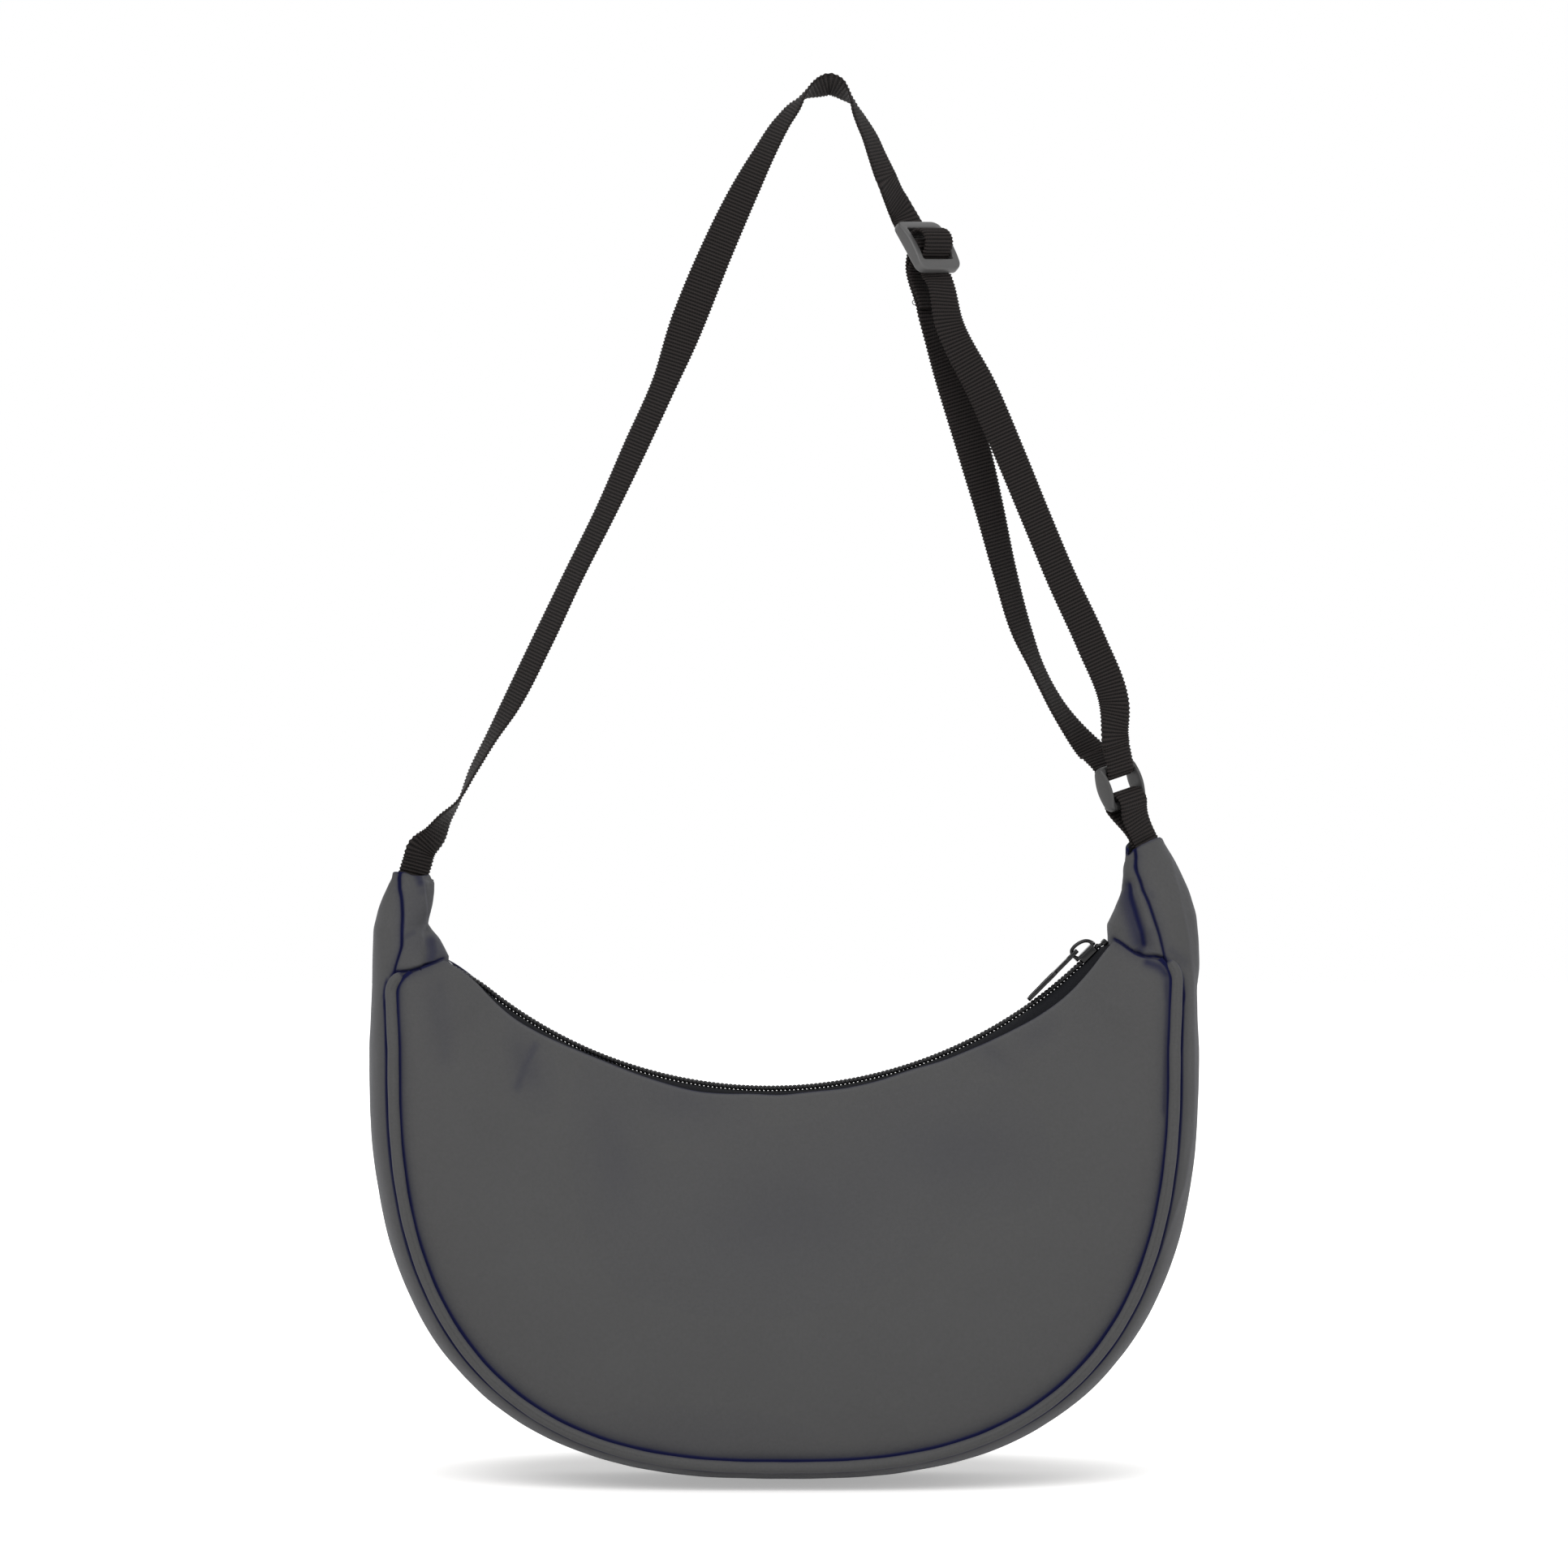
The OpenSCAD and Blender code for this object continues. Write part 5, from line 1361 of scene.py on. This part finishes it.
LOOP_R = CENTRE_R + RUN_GAP + WEB_T / 2
BIGHT_R = LOOP_R + WEB_T + RUN_GAP + 0.8
BIGHT_OUT = 3.0
SLOT_Z = GLIDE_WINDOW / 2 - WEB_T / 2
bight = np.concatenate([
    [[BEHIND_Y, GLIDE_L / 2], [BEHIND_Y, SLOT_Z]], arc_route(-BIGHT_OUT, 0, BIGHT_R, 105, 255, 12),
    [[BEHIND_Y, -SLOT_Z], [BEHIND_Y, -GLIDE_L / 2]]
])
end_loop = np.concatenate([
    [[SEWN_Y, SEWN_Z], [SEWN_Y, -LOOP_R - WEB_T]], arc_route(0, 0, LOOP_R, 30, 250, 14),
    [[BEHIND_Y + LAYER, -SLOT_Z + WEB_T + SEAM_GAP / 2], [BEHIND_Y + LAYER, SEWN_Z]]
])
web_piece("bight_webbing", [local_strip(GLIDE_AT, GLIDE_LEAN, bight, GLIDE_NOD)], "glide", ["glide_bight"])
web_piece("end_loop_webbing", [local_strip(GLIDE_AT, GLIDE_LEAN, end_loop, LOOP_NOD)], "glide",
          ["strap_end_loop"])

# Strands from the tri-glide to the ring: share of the way, bow and depth in widths, and twist
FRONT_STRAND = np.array([
    [0.15, -0.17, -0.60, 143], [0.28, 0.08, -0.55, 152], [0.40, 0.21, -0.42, 150], [0.52, 0.31, -0.26, 148],
    [0.64, 0.42, -0.12, 149], [0.76, 0.60, -0.06, 152], [0.87, 0.64, -0.08, 149],
])
REAR_STRAND = np.array([
    [0.24, -0.60, 0.12, 158], [0.38, -0.69, 0.30, 162], [0.50, -0.84, 0.50, 146], [0.62, -1.03, 0.68, 134],
    [0.74, -1.15, 0.80, 127], [0.80, -1.10, 0.82, 117], [0.84, -1.03, 0.82, 116], [0.88, -0.92, 0.80, 119],
])
RING_PITCH = 15.2
RING_BAR_R = 1.8
RING_SIDE = 2.0
RING_BULGE = 8.4
RING_SLACK = 0.8
BIGHT_LEG = 8.0
BIGHT_FLARE = 6.0
FRONT_FLARE = 2.2
RING_WEB_R = RING_BAR_R + RUN_GAP + WEB_T / 2


def lower_strand(top, table, leg):
    share, bow, depth, twist = table.T
    middle = mix(GLIDE_AT, RING_AT, share[:, None])
    route = np.concatenate([top, xyz(middle[:, 0] + bow * WEB_W, depth * WEB_W, middle[:, 2]), leg])
    return route, strand_across(route, np.concatenate([hardware_twists, twist, hardware_twists]))


def ring_leg(end, flare):
    """The last two points of a strand that comes down onto the ring, leaning by flare."""
    before = end + LEAD * unit(np.array([flare, BIGHT_LEG]))
    return from_strand(RING_AT, RING_LEAN, [[0, *before], [0, *end]])


front_end = np.array([-RING_WEB_R - FRONT_FLARE, BIGHT_LEG])
rear_end = np.array([RING_WEB_R + BIGHT_FLARE, BIGHT_LEG])
lead = np.array([0, LEAD])
front_top = from_strand(GLIDE_AT, GLIDE_LEAN, xyz(0, BEHIND_Y, -GLIDE_L / 2 - lead), GLIDE_NOD)
rear_top = from_strand(GLIDE_AT, GLIDE_LEAN, xyz(0, SEWN_Y, SEWN_Z - lead), LOOP_NOD)
for name, top, table, end, flare, replaced in (
    ("front_strand_webbing", front_top, FRONT_STRAND, front_end, -FRONT_FLARE, "strap_front_strand"),
    ("rear_strand_webbing", rear_top, REAR_STRAND, rear_end, BIGHT_FLARE, "strap_rear_strand"),
):
    route, across = lower_strand(top, table, ring_leg(end, flare))
    piece = web_piece(name, [webbing_strip(route, across)], None, [replaced])
    tuple(route[-1] * MM)
    tuple(route[0] * MM)
    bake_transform(piece)

ring_bight = np.concatenate([
    [front_end], arc_route(0, 0, RING_WEB_R + RING_SLACK, 184, 356, 14), [rear_end]
])
web_piece("ring_bight_webbing", [local_strip(RING_AT, RING_LEAN, ring_bight)], "strap", ["ring_bight"])

# Loop from the right horn round the ring's lower bar, cut where it starts to follow the ring
LOOP_SLACK = 2.0
LOOP_CUT_SHARE = 0.86
LOOP_LAP = 0.4
LOOP_RELIEF = 0.5
loop_bar = from_strand(RING_AT, RING_LEAN, [0, 0, -RING_PITCH])[0]
loop_rise = unit(loop_bar - MOUTH_AT)
loop_side = np.array([*spun(0, 1, RIGHT_HORN[-1, 6]), 0])
loop_wide = np.cross(loop_side, loop_rise)


def loop_foot(side, up):
    return MOUTH_AT + side * LAYER / 2 * loop_side + up * loop_rise


turned = np.insert(arc_route(0, 0, RING_WEB_R + LOOP_SLACK, 215, -35, 17), 0, 0, axis=1)
loop_route = np.concatenate([
    [loop_foot(-1, 0), loop_foot(-1, LEAD)], from_strand(loop_bar, RING_LEAN, turned),
    [loop_foot(1, LEAD), loop_foot(1, 0)]
])
wide_top = from_strand(0, RING_LEAN, [1, 0, 0])[0]
loop_across = [loop_wide] * 2 + [wide_top] * len(turned) + [loop_wide] * 2
loop_along = run_length(loop_route)
cut_in = mix(loop_along[1], loop_along[2], LOOP_CUT_SHARE)
cut_out = mix(loop_along[-2], loop_along[-3], LOOP_CUT_SHARE)
loop_piece = web_piece("ring_loop_webbing", [
    webbing_strip(loop_route, loop_across, cut_in - LOOP_LAP, cut_out + LOOP_LAP, relief=LOOP_RELIEF)
], None, ["ring_loop"])
tuple(mix(MOUTH_AT, loop_bar, 1.0) * MM)
tuple(mix(MOUTH_AT, loop_bar, 0.78) * MM)
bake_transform(loop_piece)
legs_piece = web_piece("loop_legs_webbing", [
    webbing_strip(loop_route, loop_across, 0, cut_in, relief=LOOP_RELIEF),
    webbing_strip(loop_route, loop_across, cut_out, relief=LOOP_RELIEF),
], None, [])
tuple(mix(MOUTH_AT, loop_bar, 0.73) * MM)
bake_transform(legs_piece)
low_end = horn_middle(RIGHT_HORN, RIGHT)
web_piece("loop_tail_webbing", [
    webbing_strip([low_end + side * LAYER / 2 * loop_side, loop_foot(side, -LEAD), loop_foot(side, 0)],
                  [loop_wide] * 3)
    for side in (-1, 1)
], "bag", ["ring_loop_tail"])

# Moulded hardware
FRAME_STEP = 0.8


def rounded_loop(half_w, half_l, corner):
    """Points round a rectangle with rounded corners."""
    out = []
    for n, (side, end) in enumerate([(1, 1), (-1, 1), (-1, -1), (1, -1)]):
        a = np.radians(np.linspace(90 * n, 90 * n + 90, 24))
        x = side * (half_w - corner) + corner * np.cos(a)
        out.append(xyz(x, end * (half_l - corner) + corner * np.sin(a)))
    return np.concatenate(out)


def dense(loop, steps):
    """The same closed loop with the given number of points on each of its pieces."""
    after = np.roll(loop, -1, axis=0)
    return np.array([mix(a, b, s / n) for a, b, n in zip(loop, after, steps) for s in range(n)])


def frame_band(outer, inner, front, back, edge):
    """A moulded frame in local XZ with its face towards -Y; front and back give depths at local x, z."""
    lengths = np.linalg.norm(np.roll(outer, -1, axis=0) - outer, axis=1)
    steps = np.maximum(1, (lengths / FRAME_STEP).astype(int))
    v = 2 * np.pi * np.arange(32) / 32
    out = (soft(np.cos(v), edge) + 1) / 2
    xz = mix(dense(inner, steps)[:, None], dense(outer, steps)[:, None], out[None, :, None])
    y = mix(front(xz), back(xz), (soft(np.sin(v), edge) + 1) / 2)
    points = xyz(xz[..., 0], y, xz[..., 1])
    return points.reshape(-1, 3), grid_faces(*points.shape[:2], wrap=True, closed=True), []


def set_on_strand(place, lean, solid, nod=0.0):
    points, faces, ends = solid
    return from_strand(place, lean, points, nod), faces, ends


def glide_front(xz):
    rise = GLIDE_ARCH - GLIDE_T
    r = (GLIDE_L**2 / 4 + rise**2) / (2 * rise)
    return GLIDE_BACK - GLIDE_ARCH + r - np.sqrt(r * r - xz[..., 1] ** 2)


glide_band = frame_band(rounded_loop(GLIDE_W / 2, GLIDE_L / 2, GLIDE_CORNER),
                        rounded_loop(GLIDE_IN / 2, GLIDE_WINDOW / 2, GLIDE_WINDOW_CORNER),
                        glide_front, lambda xz: GLIDE_BACK, GLIDE_EDGE_POWER)
centre_bar = tube(xyz(np.linspace(-GLIDE_IN / 2 - 1, GLIDE_IN / 2 + 1, 12), 0, 0), CENTRE_R, 20)
glide_frame = set_on_strand(GLIDE_AT, GLIDE_LEAN, joined([glide_band, centre_bar]), GLIDE_NOD)
make_piece("tri_glide_frame", glide_frame, PLASTIC, "glide", ["tri_glide"])

RING_IN = WEB_W + 2 * RUN_GAP
RING_HALF_L = RING_PITCH / 2 + RING_BAR_R
RING_CORNER = 2.2
RING_WINDOW_CORNER = 0.9
RING_EDGE_POWER = 0.62
# The bulge starts this far in from the side bars
RING_BULGE_IN = 1.2


def ring_depth(xz):
    """Half depth of the ring: a bar's radius at its two bars, and the bulge along its sides."""
    z = xz[..., 1] / RING_HALF_L
    beside = np.clip((np.abs(xz[..., 0]) - RING_IN / 2 + RING_BULGE_IN) / RING_BULGE_IN, 0, 1)
    return RING_BAR_R + (RING_BULGE / 2 - RING_BAR_R) * np.clip(1 - z * z, 0, 1) ** 1.2 * beside


ring_window = rounded_loop(RING_IN / 2 + 0.15, RING_PITCH / 2 - RING_BAR_R, RING_WINDOW_CORNER)
ring_band = frame_band(rounded_loop(RING_IN / 2 + RING_SIDE, RING_HALF_L, RING_CORNER), ring_window,
                       lambda xz: -ring_depth(xz), ring_depth, RING_EDGE_POWER)
ring_band = moved(ring_band, [0, 0, -RING_PITCH / 2])
make_piece("ring_frame", set_on_strand(RING_AT, RING_LEAN, ring_band), RING_PLASTIC, "ring",
           ["ring"])

# Stitches across the strap's sewn end, and the loose loop of thread beside it
THREAD_R = 0.17
STITCH_PITCH = 1.8
STITCH_L = 1.3
THREAD_LOOP_R = 0.95
s = np.linspace(0, 1, 7)
threads = [
    xyz(x + STITCH_L * (s - 0.5), SEWN_Y + WEB_T / 2 + 0.02 + 0.22 * np.sin(np.pi * s), SEWN_Z + rise)
    for rise in (2.0, 4.6) for x in np.arange(-6.3, 6.4, STITCH_PITCH)
]
turn = np.radians(np.linspace(50, 340, 25))
threads.append(xyz(-WEB_W / 2 - 0.55 + THREAD_LOOP_R * np.cos(turn), SEWN_Y,
                   SEWN_Z + 2.6 + THREAD_LOOP_R * np.sin(turn)))
sewn = [tube(from_strand(GLIDE_AT, GLIDE_LEAN, line, LOOP_NOD), THREAD_R, 6) for line in threads]
make_piece("end_stitches", joined(sewn), THREAD, "glide")

# Camera, light and floor
SENSOR_W = 36
scene = bpy.context.scene
camera = bpy.data.objects.new("camera", bpy.data.cameras.new("camera"))
scene.collection.objects.link(camera)
camera.location = EYE * MM
camera.rotation_euler = (math.radians(90), 0, 0)
camera.data.sensor_width = SENSOR_W
camera.data.lens = SENSOR_W * -EYE[1] / VIEW_W
camera.data.clip_start = 0.1
camera.data.clip_end = 50
scene.camera = camera
scene.view_settings.view_transform = "Standard"
LAMP_AIM = Vector((0, 0, -0.35))


def lamp(name, place, size, power):
    light = bpy.data.lights.new(name, "AREA")
    light.shape = "SQUARE"
    light.size = size
    light.energy = power
    made = bpy.data.objects.new(name, light)
    scene.collection.objects.link(made)
    made.location = place
    made.rotation_euler = (LAMP_AIM - Vector(place)).to_track_quat("-Z", "Y").to_euler()


lamp("key", (-0.8, -2.0, 1.6), 2.0, 42)
lamp("fill", (1.6, -1.8, 0.5), 1.8, 12)


def shown_to(tree, *kinds):
    """1 for rays of any of the kinds, and 0 for others."""
    rays = node(tree, "LightPath")
    total = Value(tree, rays.outputs[kinds[0]])
    for kind in kinds[1:]:
        total = total.maths("MAXIMUM", rays.outputs[kind])
    return total


world = bpy.data.worlds.new("world")
scene.world = world
world.use_nodes = True
tree = world.node_tree
shown = shown_to(tree, "Is Camera Ray", "Is Glossy Ray", "Is Transmission Ray")
feed(tree, tree.nodes["Background"], {"Color": (1, 1, 1, 1), "Strength": shown * 0.60 + 0.40})

FLOOR_Z = (BAG_AT[2] - 2.0) * MM
FLOOR_HALF = 6.0
floor_mesh = bpy.data.meshes.new("floor")
corners = [(x * FLOOR_HALF, y * FLOOR_HALF, FLOOR_Z) for x, y in ((-1, -1), (1, -1), (1, 1), (-1, 1))]
floor_mesh.from_pydata(corners, [], [(0, 1, 2, 3)])
floor = bpy.data.objects.new("floor", floor_mesh)
scene.collection.objects.link(floor)
floor_material, tree, shader = blank_material("pale floor", Roughness=0.9, Specular_IOR_Level=0.0,
                                              Base_Color=(0.93, 0.92, 0.91, 1))
# Distance from under the bag, 1 at the edge of the patch of floor that keeps the shadow
TO_PATCH = (0.024, -0.03, -FLOOR_Z)
PATCH_SHRINK = (1 / 0.19, 1 / 0.10, 1)
reach = node(tree, "TexCoord").outputs["Object"]
for operation, vector in (("ADD", TO_PATCH), ("MULTIPLY", PATCH_SHRINK)):
    reach = node(tree, "VectorMath", {0: reach, 1: vector}, operation=operation).outputs[0]
reach = node(tree, "VectorMath", {0: reach}, operation="LENGTH").outputs["Value"]
far = node(tree, "MapRange", {
    "Value": reach, "From Min": 0.55, "From Max": 1.25, "To Min": 0.36, "To Max": 1.0
}, interpolation_type="SMOOTHSTEP").outputs["Result"]
glow = shown_to(tree, "Is Camera Ray", "Is Glossy Ray") * far
glow = node(tree, "Emission", {"Color": (1, 1, 1, 1), "Strength": glow})
both = node(tree, "AddShader", {0: shader.outputs[0], 1: glow.outputs[0]})
tree.links.new(both.outputs[0], tree.nodes["Material Output"].inputs["Surface"])
floor_mesh.materials.append(floor_material)
